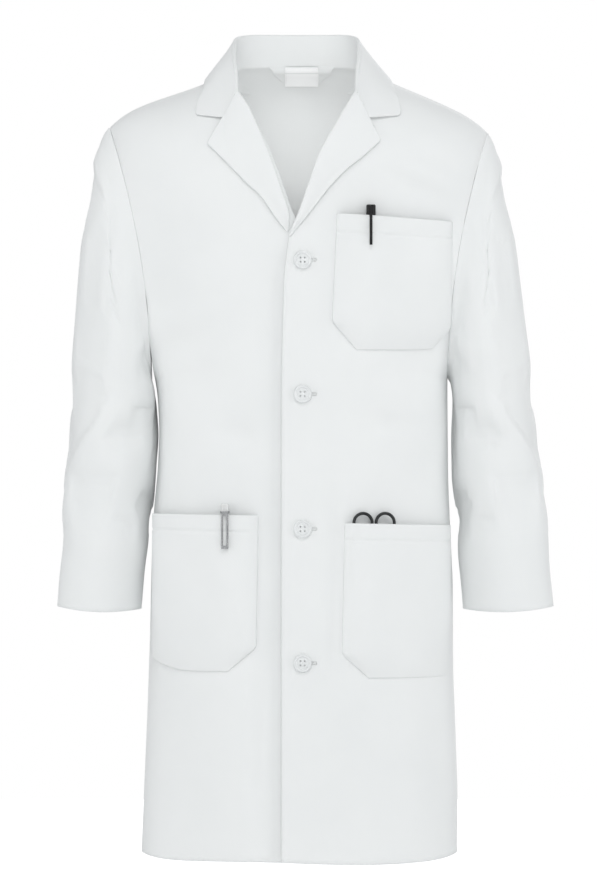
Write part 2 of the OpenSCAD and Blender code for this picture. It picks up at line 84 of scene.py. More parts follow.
# ---------------------------------------------------------------- the body surface
def smooth(f):
    f = np.clip(f, 0, 1)
    return f * f * (3 - 2 * f)


def mix(a, b, f):
    return a + (b - a) * f


def unit(v):
    """Vectors of length 1 along the given ones."""
    return v / np.maximum(np.linalg.norm(v, axis=-1, keepdims=True), 1e-9)


def bump(v, middle, width):
    return np.exp(-(((v - middle) / width) ** 2))


def arm_t(z):
    return (z - ARM_MID) / ARM_HALF


def arm_open(z):
    return np.sqrt(np.clip(1 - arm_t(z) ** 2, 0, 1))


def side_x(z):
    skirt = np.clip((-z - ARM_BOTTOM) / (HEM_DROP - ARM_BOTTOM), 0, 1) ** 1.6
    low = mix(CHEST_HALF, HEM_HALF, skirt)
    arm = mix(CHEST_HALF, SHOULDER_HALF, (arm_t(z) + 1) / 2) - ARM_SCOOP * arm_open(z) ** 2
    return np.where(z >= -ARM_TOP, SHOULDER_HALF, np.where(z <= -ARM_BOTTOM, low, arm))


def shoulder_z(x):
    f = np.clip((np.abs(x) - 112) / (SHOULDER_HALF - 112), 0, 2)
    return np.minimum(0, -16 - 0.42 * (np.abs(x) - 112) - 12 * f**6)


def neck_depth(x):
    return NECK_HALF_DEPTH * np.sqrt(np.clip(1 - (x / NECK_HALF) ** 2, 0, 1))


def depth(x, z):
    w = arm_open(z)
    h = ARM_HALF_DEPTH * w
    t = np.clip(np.abs(x) / side_x(z), 0, 1)
    shape = mix((1 - t**2.4) ** (1 / 2.4), 1 - t**3, w)
    full = BODY_HALF_DEPTH + HEM_FLARE * (-z / HEM_DROP)
    full = h + (full - h) * shape
    s = np.maximum(0, shoulder_z(x) - z)
    r = 130 - 60 * np.abs(x) / SHOULDER_HALF
    q = np.sqrt(np.clip(1 - np.clip(1 - s / r, 0, 1) ** 2, 0, 1))
    return neck_depth(x) + (full - neck_depth(x)) * q


def calm(x, z):
    """Near 0 where the cloth has to stay on the CAD shape: at seams, buttons and full pockets."""
    edge = smooth((side_x(z) - np.abs(x)) / 30) * smooth((shoulder_z(x) - z - 12) / 70)
    buttons = 1 - 0.92 * bump(x, BUTTON_X, 34)
    chest = 1 - 0.85 * bump(x, 90, 40) * bump(z, -250, 95)
    left_hip = 1 - 0.85 * bump(x, 90, 45) * bump(z, -620, 95)
    right_hip = 1 - 0.85 * bump(x, -90, 40) * bump(z, -620, 95)
    return edge * buttons * chest * left_hip * right_hip


def hollows(x, z):
    """The soft dents and drawn folds of the front: at the waist, from the shoulder and beside the edge."""
    dents = -6.0 * bump(x, 112, 30) * bump(z, -436, 19) - 5.4 * bump(x, -74, 26) * bump(z, -449, 18)
    slanting = z + 0.55 * x
    drawn = 2.8 * np.sin(slanting / 9.5) * bump(x, 150, 42) * bump(z, -128, 26)
    drawn = drawn + 2.0 * np.sin((z - 0.4 * x) / 10.5) * bump(x, -150, 34) * bump(z, -330, 50)
    hanging = -2.6 * bump(x, 39 + 0.02 * (z + 700), 8) * smooth((-z - 440) / 90) * smooth((z + 860) / 160)
    hanging = hanging - 2.0 * bump(x, -48, 9) * smooth((-z - 700) / 90) * smooth((z + 960) / 90)
    return dents + drawn + hanging


def folds(x, z, side):
    """How far the hanging cloth stands off the plain body, along its normal."""
    skirt = smooth((-z - 430) / 420)
    waist = bump(z, -520, 170)
    if side == FRONT:
        long = 3.4 * np.sin(x / 27.0 + 0.004 * z + 1.1) * skirt * smooth((np.abs(x) - 18) / 50)
        drag = 2.6 * np.sin((z - 1.25 * np.abs(x)) / 34.0 + 0.6) * bump(z, -420, 70)
        drag = drag * smooth((np.abs(x) - 70) / 70)
        chest = 2.2 * np.sin((z + 0.8 * np.abs(x)) / 38.0) * bump(z, -215, 60)
        chest = chest * smooth((np.abs(x) - 90) / 60)
        soft = 1.6 * np.sin(z / 61.0 + x / 45.0) * waist
        return (long + drag + chest + soft) * calm(x, z) + hollows(x, z)
    edge = smooth((side_x(z) - np.abs(x)) / 35) * smooth((shoulder_z(x) - z - 15) / 90)
    long = 4.6 * np.sin(x / 30.0 - 0.003 * z + 0.5) * skirt
    sag = 3.0 * np.sin((z + 0.9 * np.abs(x)) / 42.0) * bump(z, -330, 110) * smooth(np.abs(x) / 60)
    blade = 2.4 * np.sin(x / 38.0 + z / 90.0) * bump(z, -480, 150)
    return (long + sag + blade) * edge


def on_body(x, z, side, off):
    """Points off the body surface along its normal, with the cloth's folds. All are arrays of one shape."""
    x, z, off = np.broadcast_arrays(np.asarray(x, float), np.asarray(z, float), np.asarray(off, float))
    e = 0.5
    nx = -(depth(x + e, z) - depth(x - e, z)) / (2 * e)
    nz = -(depth(x, z + e) - depth(x, z - e)) / (2 * e)
    n = unit(np.stack([nx, np.full_like(nx, side), nz], -1))
    p = np.stack([x, side * depth(x, z), z], -1)
    return p + n * (off + folds(x, z, side))[..., None]


def seen_at(x, z, side, off):
    """Points off the body surface by off, which end up at x and z themselves."""
    x, z = np.broadcast_arrays(np.asarray(x, float), np.asarray(z, float))
    at_x, at_z = x, z
    for _ in range(4):
        p = on_body(at_x, at_z, side, off)
        at_x, at_z = at_x + x - p[..., 0], at_z + z - p[..., 2]
    return on_body(at_x, at_z, side, off)


def front_off(x, own):
    """How far out a front stands where it laps over the other one, which only the left one does."""
    return 2 * LAYER * smooth((150 - np.asarray(x, float)) / 80) * (own > 0)


def soft_table(table, blur=14):
    """A table of (key, value) rows as a function, with its corners rounded over about blur."""
    keys = np.array([row[0] for row in table], float)
    values = np.array([row[1] for row in table], float)
    order = np.argsort(keys)
    dense = np.arange(keys.min() - 3 * blur, keys.max() + 3 * blur, 1.0)
    v = np.interp(dense, keys[order], values[order])
    k = np.hanning(2 * blur + 1)
    v = np.convolve(np.pad(v, blur, mode="edge"), k / k.sum(), mode="valid")
    return lambda key: np.interp(key, dense, v)


def through(points, u):
    """A smooth curve through points, at 0 to 1 along them."""
    p = np.asarray(points, float)
    n = len(p) - 1
    i = np.minimum(n - 1, np.floor(np.asarray(u) * n)).astype(int)
    f = (np.asarray(u) * n - i)[..., None]
    a, b, c, d = p[np.maximum(0, i - 1)], p[i], p[i + 1], p[np.minimum(n, i + 2)]
    return b + 0.5 * f * (c - a + f * (2 * a - 5 * b + 4 * c - d + f * (3 * (b - c) + d - a)))


def round_corner(u, c, u_len, c_len, r):
    """Rounds the corner of a grid where u and c are both 1, to a radius r."""
    p, q = (r - (1 - u) * u_len) / r, (r - (1 - c) * c_len) / r
    inside = (p > 0) & (q > 0)
    pp, qq = p * np.sqrt(1 - np.clip(q, 0, 1) ** 2 / 2), q * np.sqrt(1 - np.clip(p, 0, 1) ** 2 / 2)
    return np.where(inside, 1 - (r - pp * r) / u_len, u), np.where(inside, 1 - (r - qq * r) / c_len, c)


# ---------------------------------------------------------------- meshes
RIM = 0.45  # how far a rounded edge reaches out, in thicknesses of the cloth


def grid_normals(g, closed=False):
    dc = np.empty_like(g)
    if closed:
        dc = np.roll(g, -1, 1) - np.roll(g, 1, 1)
    else:
        dc[:, 1:-1] = g[:, 2:] - g[:, :-2]
        dc[:, 0] = g[:, 1] - g[:, 0]
        dc[:, -1] = g[:, -1] - g[:, -2]
    dr = np.empty_like(g)
    dr[1:-1] = g[2:] - g[:-2]
    dr[0] = g[1] - g[0]
    dr[-1] = g[-1] - g[-2]
    return unit(np.cross(dc, dr))


def new_object(name, verts, faces, uvs=None, material=None):
    mesh = bpy.data.meshes.new(name)
    mesh.from_pydata([tuple(v) for v in np.asarray(verts) * MM], [], faces)
    mesh.update()
    mesh.polygons.foreach_set("use_smooth", [True] * len(mesh.polygons))
    if uvs is not None:
        layer = mesh.uv_layers.new(name="cloth")
        loops = np.empty(len(mesh.loops), np.int32)
        mesh.loops.foreach_get("vertex_index", loops)
        layer.data.foreach_set("uv", np.asarray(uvs, np.float32)[loops].ravel())
    obj = bpy.data.objects.new(name, mesh)
    bpy.context.scene.collection.objects.link(obj)
    if material:
        mesh.materials.append(material)
    return obj


def grid_uv(g):
    """Where each point of a grid is on the flat cloth, in metres."""
    across = np.linalg.norm(np.diff(g, axis=1), axis=-1).mean(0)
    down = np.linalg.norm(np.diff(g, axis=0), axis=-1).mean(1)
    u = np.concatenate([[0], np.cumsum(across)]) * MM
    v = np.concatenate([[0], np.cumsum(down)]) * MM
    return np.stack(np.meshgrid(u, v), -1)


def sheet_object(name, g, material, thick, flip=False):
    """A closed sheet of cloth with rounded edges. g is its middle surface, rows by columns.
    thick is one number, or one for each column."""
    rows, cols = g.shape[:2]
    n = grid_normals(g) * (-1 if flip else 1)
    thick = np.broadcast_to(thick, cols)
    half = n * thick[None, :, None] / 2
    uv = grid_uv(g)
    out, inn = g + half, g - half
    ring = [(0, j) for j in range(cols)]
    ring += [(i, cols - 1) for i in range(1, rows)]
    ring += [(rows - 1, j) for j in range(cols - 2, -1, -1)]
    ring += [(i, 0) for i in range(rows - 2, 0, -1)]
    rim = []
    for i, j in ring:
        near = (min(max(i, 1), rows - 2), min(max(j, 1), cols - 2))
        away = g[i, j] - g[near]
        away -= n[i, j] * np.dot(away, n[i, j])
        rim.append(g[i, j] + unit(away) * thick[j] * RIM)
    size = rows * cols
    index = np.arange(size).reshape(rows, cols)
    corners = [index[:-1, :-1], index[:-1, 1:], index[1:, 1:], index[1:, :-1]]
    top = np.stack([part.ravel() for part in corners], -1)
    low = top[:, ::-1] + size
    border = np.array([index[i, j] for i, j in ring])
    after = np.roll(border, -1)
    k = np.arange(len(ring)) + 2 * size
    k_after = np.roll(k, -1)
    upper = np.stack([after, border, k, k_after], -1)
    lower = np.stack([k_after, k, border + size, after + size], -1)
    faces = np.concatenate([top, low, upper, lower])
    if flip:
        faces = faces[:, ::-1]
    verts = np.concatenate([out.reshape(-1, 3), inn.reshape(-1, 3), np.array(rim)])
    uvs = np.concatenate([uv.reshape(-1, 2), uv.reshape(-1, 2), np.array([uv[i, j] for i, j in ring])])
    return new_object(name, verts, faces.tolist(), uvs, material)


def tube_object(name, g, material, thick, flip=False):
    """A closed tube of cloth, such as a sleeve, with rounded ends. g is rings by points round."""
    rows, cols = g.shape[:2]
    n = grid_normals(g, closed=True) * (-1 if flip else 1)
    size = rows * cols
    index = np.arange(size).reshape(rows, cols)
    right = np.roll(index, -1, 1)
    a, b, c, d = index[:-1].ravel(), right[:-1].ravel(), right[1:].ravel(), index[1:].ravel()
    faces = [np.stack([a, b, c, d], -1), np.stack([d, c, b, a], -1) + size]
    rims, base = [], 2 * size
    for i, near, turn in ((0, 1, 1), (rows - 1, rows - 2, -1)):
        rims.append(g[i] + unit(g[i] - g[near]) * thick * RIM)
        k = np.arange(cols) + base
        base += cols
        upper = np.stack([right[i], index[i], k, np.roll(k, -1)], -1)
        lower = np.stack([np.roll(k, -1), k, index[i] + size, right[i] + size], -1)
        faces += [upper[:, ::turn], lower[:, ::turn]]
    faces = np.concatenate(faces)
    if flip:
        faces = faces[:, ::-1]
    uv = grid_uv(np.concatenate([g, g[:, :1]], 1))[:, :-1]
    # round the tube the weave has to meet itself, so it goes up to the middle and back
    half = uv[..., 0].max() / 2
    uv[..., 0] = half - np.abs(uv[..., 0] - half)
    out, inn = (g + n * thick / 2).reshape(-1, 3), (g - n * thick / 2).reshape(-1, 3)
    verts = np.concatenate([out, inn, *rims])
    uvs = np.concatenate([uv.reshape(-1, 2), uv.reshape(-1, 2), uv[0], uv[-1]])
    return new_object(name, verts, faces.tolist(), uvs, material)


def stitches(lines, pitch=3.1, length=2.3, width=0.55):
    """Verts and faces of the stitches along lines. Each line is (points, normals), in millimetres."""
    first = 0.4
    verts, faces = [], []
    for points, normals in lines:
        points, normals = np.asarray(points, float), np.asarray(normals, float)
        run = np.concatenate([[0], np.cumsum(np.linalg.norm(np.diff(points, axis=0), axis=1))])

        def along_run(at, table):
            return np.array([np.interp(at, run, table[:, m]) for m in range(3)])

        for k in range(int((run[-1] - length - first) / pitch) + 1):
            ends = [along_run(k * pitch + s, points) for s in (first, first + length)]
            n = unit(along_run(k * pitch + length / 2, normals))
            side = np.cross(n, unit(ends[1] - ends[0])) * width / 2
            base = len(verts)
            verts += [ends[0], ends[1]]
            for f in (0.22, 0.78):
                m = mix(ends[0], ends[1], f)
                verts += [m + side, m + n * width * 0.62, m - side, m - n * width * 0.5]
            for q in range(4):
                r = (q + 1) % 4
                faces.append((base, base + 2 + r, base + 2 + q))
                faces.append((base + 2 + q, base + 2 + r, base + 6 + r, base + 6 + q))
                faces.append((base + 1, base + 6 + q, base + 6 + r))
    return verts, faces


def grid_line(g, rows, cols, lift, flip=False):
    """A line on a grid at fractional rows and columns, lifted off its outer face."""
    n = grid_normals(g) * (-1 if flip else 1)
    rows, cols = np.broadcast_arrays(np.asarray(rows, float), np.asarray(cols, float))
    rows = np.clip(rows, 0, g.shape[0] - 1.001)
    cols = np.clip(cols, 0, g.shape[1] - 1.001)
    i, j = np.floor(rows).astype(int), np.floor(cols).astype(int)
    fi, fj = (rows - i)[:, None], (cols - j)[:, None]

    def take(a):
        return mix(mix(a[i, j], a[i, j + 1], fj), mix(a[i + 1, j], a[i + 1, j + 1], fj), fi)

    return take(g) + take(n) * lift, take(n)


# ---------------------------------------------------------------- materials
def nodes_of(name):
    mat = bpy.data.materials.new(name)
    mat.use_nodes = True
    tree = mat.node_tree
    return mat, tree, tree.nodes["Principled BSDF"]


def join(tree, node, **values):
    """Joins or sets a node's inputs by name, with _ for a blank, and sets its other properties."""
    for key, value in values.items():
        socket = node.inputs.get(key.replace("_", " "))
        if socket is None:
            setattr(node, key, value)
        elif isinstance(value, bpy.types.NodeSocket):
            tree.links.new(value, socket)
        else:
            socket.default_value = value
    return node


def add(tree, kind, **values):
    return join(tree, tree.nodes.new(kind), **values)


def noise(tree, spot, scale, detail, rough):
    node = add(tree, "ShaderNodeTexNoise", Vector=spot, Scale=scale, Detail=detail, Roughness=rough)
    return node.outputs["Fac"]


def ramp(tree, fac, low, high, at_low=0.0, at_high=1.0):
    node = add(tree, "ShaderNodeValToRGB", Fac=fac)
    for element, place, colour in zip(node.color_ramp.elements, (at_low, at_high), (low, high)):
        element.position = place
        element.color = (*colour, 1)
    return node.outputs["Color"]


def cloth_material(name, colour, dark, spacing, relief_mm, sheen):
    """Twill: diagonal ribs, slubs and a slow change of tone."""
    mat, tree, bsdf = nodes_of(name)
    uv = add(tree, "ShaderNodeTexCoord").outputs["UV"]
    spot = add(tree, "ShaderNodeTexCoord").outputs["Object"]
    ribs = add(tree, "ShaderNodeTexWave", Vector=uv, Scale=0.628 / spacing, Distortion=0.6, Detail=1.0,
               Detail_Scale=2.0, bands_direction="DIAGONAL").outputs["Fac"]
    slub = noise(tree, spot, 420.0, 3.0, 0.6)
    tone = noise(tree, spot, 9.0, 3.0, 0.5)
    # the height is the ribs and 0.6 of the slubs; a wave of scale 1 repeats every 0.628
    height = add(tree, "ShaderNodeMath", operation="MULTIPLY_ADD")
    tree.links.new(slub, height.inputs[0])
    height.inputs[1].default_value = 0.6
    tree.links.new(ribs, height.inputs[2])
    relief = add(tree, "ShaderNodeBump", Strength=0.35, Distance=relief_mm * MM, Height=height.outputs[0])
    rough = add(tree, "ShaderNodeMapRange", Value=ribs, To_Min=0.8, To_Max=0.95)
    join(tree, bsdf, Normal=relief.outputs["Normal"], Base_Color=ramp(tree, tone, dark, colour, 0.3, 0.62),
         Roughness=rough.outputs["Result"], Sheen_Weight=sheen, Sheen_Roughness=0.5, Specular_IOR_Level=0.25)
    return mat


def hard_material(name, colour, dark, roughness, metallic, coat, shine):
    """Plastic or metal: a slow change of tone, fine scuffs in the gloss and a faint ripple."""
    mat, tree, bsdf = nodes_of(name)
    spot = add(tree, "ShaderNodeTexCoord").outputs["Object"]
    tone = noise(tree, spot, 60.0, 4.0, 0.6)
    scuff = noise(tree, spot, 840.0, 5.0, 0.7)
    rough = add(tree, "ShaderNodeMapRange", Value=scuff, From_Min=0.3, From_Max=0.7, To_Min=roughness * 0.8,
                To_Max=roughness * 1.3)
    relief = add(tree, "ShaderNodeBump", Strength=0.2, Distance=0.02 * MM, Height=scuff)
    join(tree, bsdf, Base_Color=ramp(tree, tone, dark, colour, 0.35, 0.6), Roughness=rough.outputs["Result"],
         Normal=relief.outputs["Normal"], Metallic=metallic, Coat_Weight=coat, Specular_IOR_Level=shine,
         Coat_Roughness=0.08)
    return mat


# name: (colour, darker tone, spacing of the ribs across the cloth in metres, relief in mm, sheen)
CLOTHS = {
    "outer_cloth": ((0.845, 0.86, 0.857), (0.825, 0.842, 0.84), 0.0036, 0.05, 0.18),
    # inner_cloth is outer_cloth a shade darker: painted shade on the pieces that lie inside the coat
    "inner_cloth": ((0.81, 0.825, 0.822), (0.785, 0.80, 0.798), 0.0036, 0.05, 0.18),
    "label_cloth": ((0.95, 0.955, 0.955), (0.93, 0.935, 0.935), 0.002, 0.02, 0.3),
    # the thread's grey is painted shade: the white thread is made darker than the cloth to stand in for the
    # stitches' shadows
    "thread": ((0.79, 0.805, 0.80), (0.74, 0.755, 0.75), 0.0012, 0.03, 0.3),
}
# name: (colour, darker tone, roughness, metallic, coat, shine)
HARD = {
    # button_plastic is greyer than the cloth as painted shade, standing in for the dark outline of shadow
    # round each button
    "button_plastic": ((0.775, 0.795, 0.795), (0.74, 0.76, 0.76), 0.32, 0.0, 0.2, 0.5),
    "black_plastic": ((0.012, 0.012, 0.013), (0.006, 0.006, 0.007), 0.3, 0.0, 0.0, 0.22),
    "white_plastic": ((0.78, 0.79, 0.785), (0.74, 0.75, 0.745), 0.22, 0.0, 0.4, 0.5),
    "clip_chrome": ((0.28, 0.285, 0.29), (0.2, 0.205, 0.21), 0.24, 1.0, 0.0, 0.5),
    "scissors_coating": ((0.033, 0.036, 0.037), (0.02, 0.022, 0.023), 0.45, 0.0, 0.0, 0.3),
    "screw_steel": ((0.5, 0.5, 0.51), (0.38, 0.38, 0.39), 0.3, 1.0, 0.0, 0.5),
}
MATERIALS = {name: cloth_material(name, *row) for name, row in CLOTHS.items()}
MATERIALS.update({name: hard_material(name, *row) for name, row in HARD.items()})


# ---------------------------------------------------------------- camera, light and floor
def studio():
    scene = bpy.context.scene
    camera = bpy.data.objects.new("camera", bpy.data.cameras.new("camera"))
    scene.collection.objects.link(camera)
    view_height, far = 1.086, 12.0
    camera.location = (-0.001, -0.06 - far, -0.460)
    camera.rotation_euler = (math.pi / 2, 0, 0)
    camera.data.sensor_width = 36
    camera.data.lens = 36 * far / view_height
    camera.data.clip_end = 60
    scene.camera = camera
    scene.view_settings.view_transform = "Standard"

    world = bpy.data.worlds.new("studio")
    scene.world = world
    world.use_nodes = True
    tree = world.node_tree
    tree.nodes.clear()
    lit = add(tree, "ShaderNodeBackground", Color=(0.97, 0.985, 1.0, 1), Strength=0.505)
    seen = add(tree, "ShaderNodeBackground", Color=(1, 1, 1, 1), Strength=1.0)
    path = add(tree, "ShaderNodeLightPath")
    both = add(tree, "ShaderNodeMixShader", Fac=path.outputs["Is Camera Ray"])
    tree.links.new(lit.outputs[0], both.inputs[1])
    tree.links.new(seen.outputs[0], both.inputs[2])
    add(tree, "ShaderNodeOutputWorld", Surface=both.outputs[0])

    # name, where it is, where it points, size, spread in degrees, power, colour
    middle, neck = (0, 0, -0.45), (0, 0.08, 0.02)
    lamps = (
        ("key", (-0.9, -5.2, 0.8), middle, 1.8, 180, 23, (1.0, 0.995, 0.99)),
        ("fill", (1.0, -4.4, -0.9), middle, 2.4, 180, 22, (0.98, 0.99, 1.0)),
        ("top", (0.1, -2.4, 2.3), middle, 1.2, 180, 29, (1, 1, 1)),
        ("left_side", (3.2, -1.2, -0.2), middle, 1.6, 180, 18, (1, 1, 1)),
        ("right_side", (-3.2, -1.2, -0.2), middle, 1.6, 180, 18, (1, 1, 1)),
        ("inside", (0, -0.05, -0.18), neck, 0.1, 120, 0.09, (1, 1, 1)),
        ("rear", (1.0, 4.6, 1.0), middle, 2.2, 180, 85, (1, 1, 1)),
    )
    for name, spot, aim, size, spread, power, colour in lamps:
        lamp = bpy.data.lights.new(name, "AREA")
        lamp.size = size
        lamp.energy = power
        lamp.color = colour
        lamp.spread = math.radians(spread)
        obj = bpy.data.objects.new(name, lamp)
        obj.location = spot
        obj.rotation_euler = (Vector(aim) - Vector(spot)).to_track_quat("-Z", "Y").to_euler()
        obj.visible_camera = False
        scene.collection.objects.link(obj)

    half, level = 14000, -1400
    corners = [(x * half, y * half, level) for x, y in ((-1, -1), (1, -1), (1, 1), (-1, 1))]
    floor = new_object("floor", np.array(corners), [(0, 1, 2, 3)])
    mat, tree, bsdf = nodes_of("pale_floor")
    grain = add(tree, "ShaderNodeTexNoise", Scale=3.0, Detail=4.0)
    tone = ramp(tree, grain.outputs["Fac"], (0.90, 0.90, 0.90), (0.94, 0.94, 0.94))
    # the floor looks as bright as the background, and gives the coat only an ordinary bounce
    path = add(tree, "ShaderNodeLightPath")
    join(tree, bsdf, Base_Color=tone, Roughness=0.9, Emission_Color=(1, 1, 1, 1),
         Emission_Strength=path.outputs["Is Camera Ray"])
    floor.data.materials.append(mat)


studio()


# ---------------------------------------------------------------- putting a piece in the frame
def place(obj, slot, body="coat", bend=None, nodes=()):
    """Puts a piece on its body, or, if it bends, only bakes its transform into its mesh; hides the CAD nodes
    it replaces.
    """
    if nodes:
        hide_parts(*nodes)
    if bend:
        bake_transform(obj)
    else:
        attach(obj, body)
    return obj


def stitch_piece(name, lines, body="coat", bend=None, **sizes):
    """Stitches along lines, as one piece on its body."""
    verts, faces = stitches(lines, **sizes)
    return place(new_object(name, np.array(verts), faces, None, MATERIALS["thread"]), "thread", body, bend)


def place_sheet(obj, g, slot, nodes=(), held="hung", rests="collar_fall", closed=False, trims=(), **where):
    """Puts a sheet of cloth in the frame."""
    place(obj, slot, nodes=nodes, **where)
    if closed:
        g = np.concatenate([g, g[:, :1]], 1)


# ---------------------------------------------------------------- fronts and back
# the inner edge of each front as (z, x); x is measured towards its own side
NECK_EDGE = [(0, 89), (-6, 88), (-18, 84), (-32, 76)]
LEFT_EDGE = soft_table(NECK_EDGE + [
    (-62, 50), (-102, 26), (-130, 15.5), (-161, 5), (-183, -3), (-205, -12), (-256, -18), (-325, -20),
    (-400, -LEFT_LAP), (-1000, -LEFT_LAP)])
RIGHT_EDGE = soft_table(NECK_EDGE + [
    (-50, 62), (-92, 40), (-121, 28), (-150, 18), (-176, 9), (-205, -6), (-245, -22), (-270, -RIGHT_LAP),
    (-1000, -RIGHT_LAP)])
# where each row of cloth starts at its inner edge and ends at the armhole or side
NECK_TOP = -5.9
ROW_ENDS = [
    (NECK_TOP, -77.5), (-8, -80), (-13, -86), (-20, -95), (-32, -108), (-48, -124), (-66, -142), (-90, -162),
    (-121, -184), (-150, -206), (-178, -228), (-205, -250), (-235, -275), (-270, -302), (-310, -330),
    (-350, -357), (-395, -385), (-440, -430), (-480, -475), (-520, -520), (-HEM_DROP, -HEM_DROP)]
SHOULDER_ROWS = 9  # how many of these rows follow the shoulder's slope, less and less
ROWS, COLS = 170, 56  # of each front, and of each half of the back
HEM_STEP = 5.8  # about the distance between the lowest rows
HEM_TURN = 20  # from the lower edge up to the hem's stitches
SIDE_TURN = 89.93  # degrees from the middle round to the side, just short of the seam
ON_SEAM = 0.0004  # how far below the shoulder seam the first row lies
LEAST_DROP = 0.01  # how far below it the other rows lie at least


def row_ends(count):
    """count rows from the shoulder to the hem: inner z, outer z and how much each follows the shoulder."""
    z = np.array(ROW_ENDS, float)
    key = np.arange(len(z), dtype=float)
    run = np.concatenate([[0], np.cumsum(np.abs(np.diff(z.mean(1))) + 2)])
    at = np.interp(np.linspace(0, run[-1], count), run, key)
    return np.interp(at, key, z[:, 0]), np.interp(at, key, z[:, 1]), np.clip(1 - at / SHOULDER_ROWS, 0, 1)


# how far each side seam hangs outside its plain line
SIDE_OUT = {
    1: soft_table([
        (-377, 0), (-503, 0), (-557, 1.6), (-626, 3.8), (-741, 2.2), (-806, 3.2), (-883, 3.8), (-966, 1)]),
    -1: soft_table([
        (-330, 0), (-377, -5), (-400, -8), (-441, -10.5), (-490, -9), (-530, -5.5), (-570, -3.2),
        (-712, -2.4), (-794, -1.4), (-875, 0), (-966, 1)]),
}


def hang(g, hem=True):
    """Moves points of the body and sleeves to where these hang: no coat hangs quite evenly."""
    x, z = g[..., 0], g[..., 2]
    wide = np.abs(x)
    out = np.where(x > 0, SIDE_OUT[1](z), SIDE_OUT[-1](z))
    at_side = np.clip(wide / side_x(z), 0, 1.1) ** 5
    out = out * at_side * smooth((-z - 330) / 60) if hem else 0 * x
    # the right shoulder is a little higher
    high = np.where(x < 0, smooth((wide - 110) / 110) * smooth((z + 230) / 150), 0)
    rise = 6.5 * high
    if hem:
        low = smooth((-z - 860) / 106)
        rise = rise + low * (8.5 * np.clip(wide / HEM_HALF, 0, 1.05) ** 10 - 4 * bump(x, 75, 90))
    return g + np.stack([np.sign(x) * (out + 1.5 * high), 0 * x, rise], -1)


def beside_edge(own, x, z):
    """How the fronts stand where they lap: x is measured towards each one's own side."""
    below = smooth((-z - 212) / 50)
    if own > 0:
        return 1.3 * bump(x, -LEFT_LAP, 8) * below
    return -2.3 * bump(x, LEFT_LAP + 4, 13) * below


def body_rows(own, side, x0, z0, z1, follow, cols, off, end=SIDE_TURN):
    """Rows of cloth from x0, z0 at the inner edge to the side at z1, off the body by off."""
    x1 = side_x(z1)
    a0 = np.arcsin(np.clip(x0 / x1, -1, 1))
    s0 = np.maximum(LEAST_DROP, shoulder_z(x0) - z0)
    s1 = np.maximum(LEAST_DROP, shoulder_z(x1) - z1)
    s0[0] = s1[0] = ON_SEAM
    f = np.linspace(0, 1, cols)[None, :]
    a = mix(a0[:, None], math.radians(end), f)
    x = x1[:, None] * np.sin(a)
    g = (x - x0[:, None]) / (x1 - x0)[:, None]
    straight = mix(z0[:, None], z1[:, None], g)
    sloped = shoulder_z(x) - mix(s0[:, None], s1[:, None], g)
    z = mix(straight, sloped, follow[:, None])
    extra = 0
    if side == FRONT:
        extra = (front_off(x, own) + beside_edge(own, x, z)) * smooth((shoulder_z(x) - z) / 25)
    return hang(on_body(own * x, z, side, off + extra))


def bend_over(child, own, a, b, before, after):
    """The bend of a piece about the line from a to b, as place() takes it: it starts at before in front of
    the line and ends at after past it."""
    a, b = np.array(a, float), np.array(b, float)
    d = unit(b - a)
    e = np.array([-d[1], d[0]])
    m = (a + b) / 2
    start, end = m - e * before, m + e * after
    return "coat", child, (own * start[0], 0, start[1]), (own * end[0], 0, end[1])


def corner_bend():
    """The bend of the left front's corner across a slanting line below the lowest button."""
    top, bottom = (-LEFT_LAP, CORNER_TOP), (CORNER_REACH - LEFT_LAP, -HEM_DROP)
    return bend_over("left_corner", 1, bottom, top, 34, 34)


def hem_band(name, own, side, x0, cols, bend=None):
    """The hem, turned up inside."""
    rows, inside = 6, -1.2
    z = np.linspace(-HEM_DROP + 22, -HEM_DROP + 1.5, rows)
    g = body_rows(own, side, np.full(rows, float(x0)), z, z, np.zeros(rows), cols, inside, 89.0)
    obj = sheet_object(name, g, MATERIALS["inner_cloth"], THICK["hem"], flip=own * side > 0)
    return place(obj, "inner_cloth", bend=bend)


def hem_stitches(g, count, flip=False):
    """The line of stitches along the hem of a grid of the body."""
    up = g.shape[0] - 1 - HEM_TURN / HEM_STEP
    return grid_line(g, up, np.linspace(0.5, g.shape[1] - 2, count), STITCH_LIFT, flip)


def fronts():
    from_edge = 6
    z0, z1, follow = row_ends(ROWS)
    for own, name, edge, bend in ((1, "left", LEFT_EDGE, corner_bend()), (-1, "right", RIGHT_EDGE, None)):
        g = body_rows(own, FRONT, edge(z0), z0, z1, follow, COLS, 0)
        flip = own < 0
        # the facing, inside the front edge
        z = np.linspace(-250, -HEM_DROP + 3, 120)[:, None]
        x = mix(edge(z) + 2.5, 62, np.linspace(0, 1, 16)[None, :])
        inner = on_body(own * x, z + 0 * x, FRONT, front_off(x, own) + beside_edge(own, x, z) - LAYER)
        facing = sheet_object(f"{name}_facing_cloth", inner, MATERIALS["inner_cloth"], THICK["facing"], flip)
        place_sheet(facing, inner, "inner_cloth", [f"{name}_facing"], rests=f"{name}_front_cloth", bend=bend)
        hem = hem_band(f"{name}_front_hem_band", own, FRONT, 63, 30, bend)
        # stitches along the hem and, on the front that shows, down its edge
        lines = [hem_stitches(g, 200, flip)]
        if own > 0:
            rows = np.linspace(48, g.shape[0] - 1.5, 260)
            step = np.linalg.norm(g[100, 1] - g[100, 0])
            lines.append(grid_line(g, rows, from_edge / step, STITCH_LIFT, flip))
        thread = stitch_piece(f"{name}_front_stitches", lines, bend=bend)
        obj = sheet_object(f"{name}_front_cloth", g, MATERIALS["outer_cloth"], THICK["body"], flip)
        nodes = ["left_front", "left_front_corner"] if own > 0 else ["right_front"]
        place_sheet(obj, g, "outer_cloth", nodes, bend=bend, trims=[hem, thread])


NECK_RISE = 6.5  # how much higher the middle of the back neck seam is than the CAD's


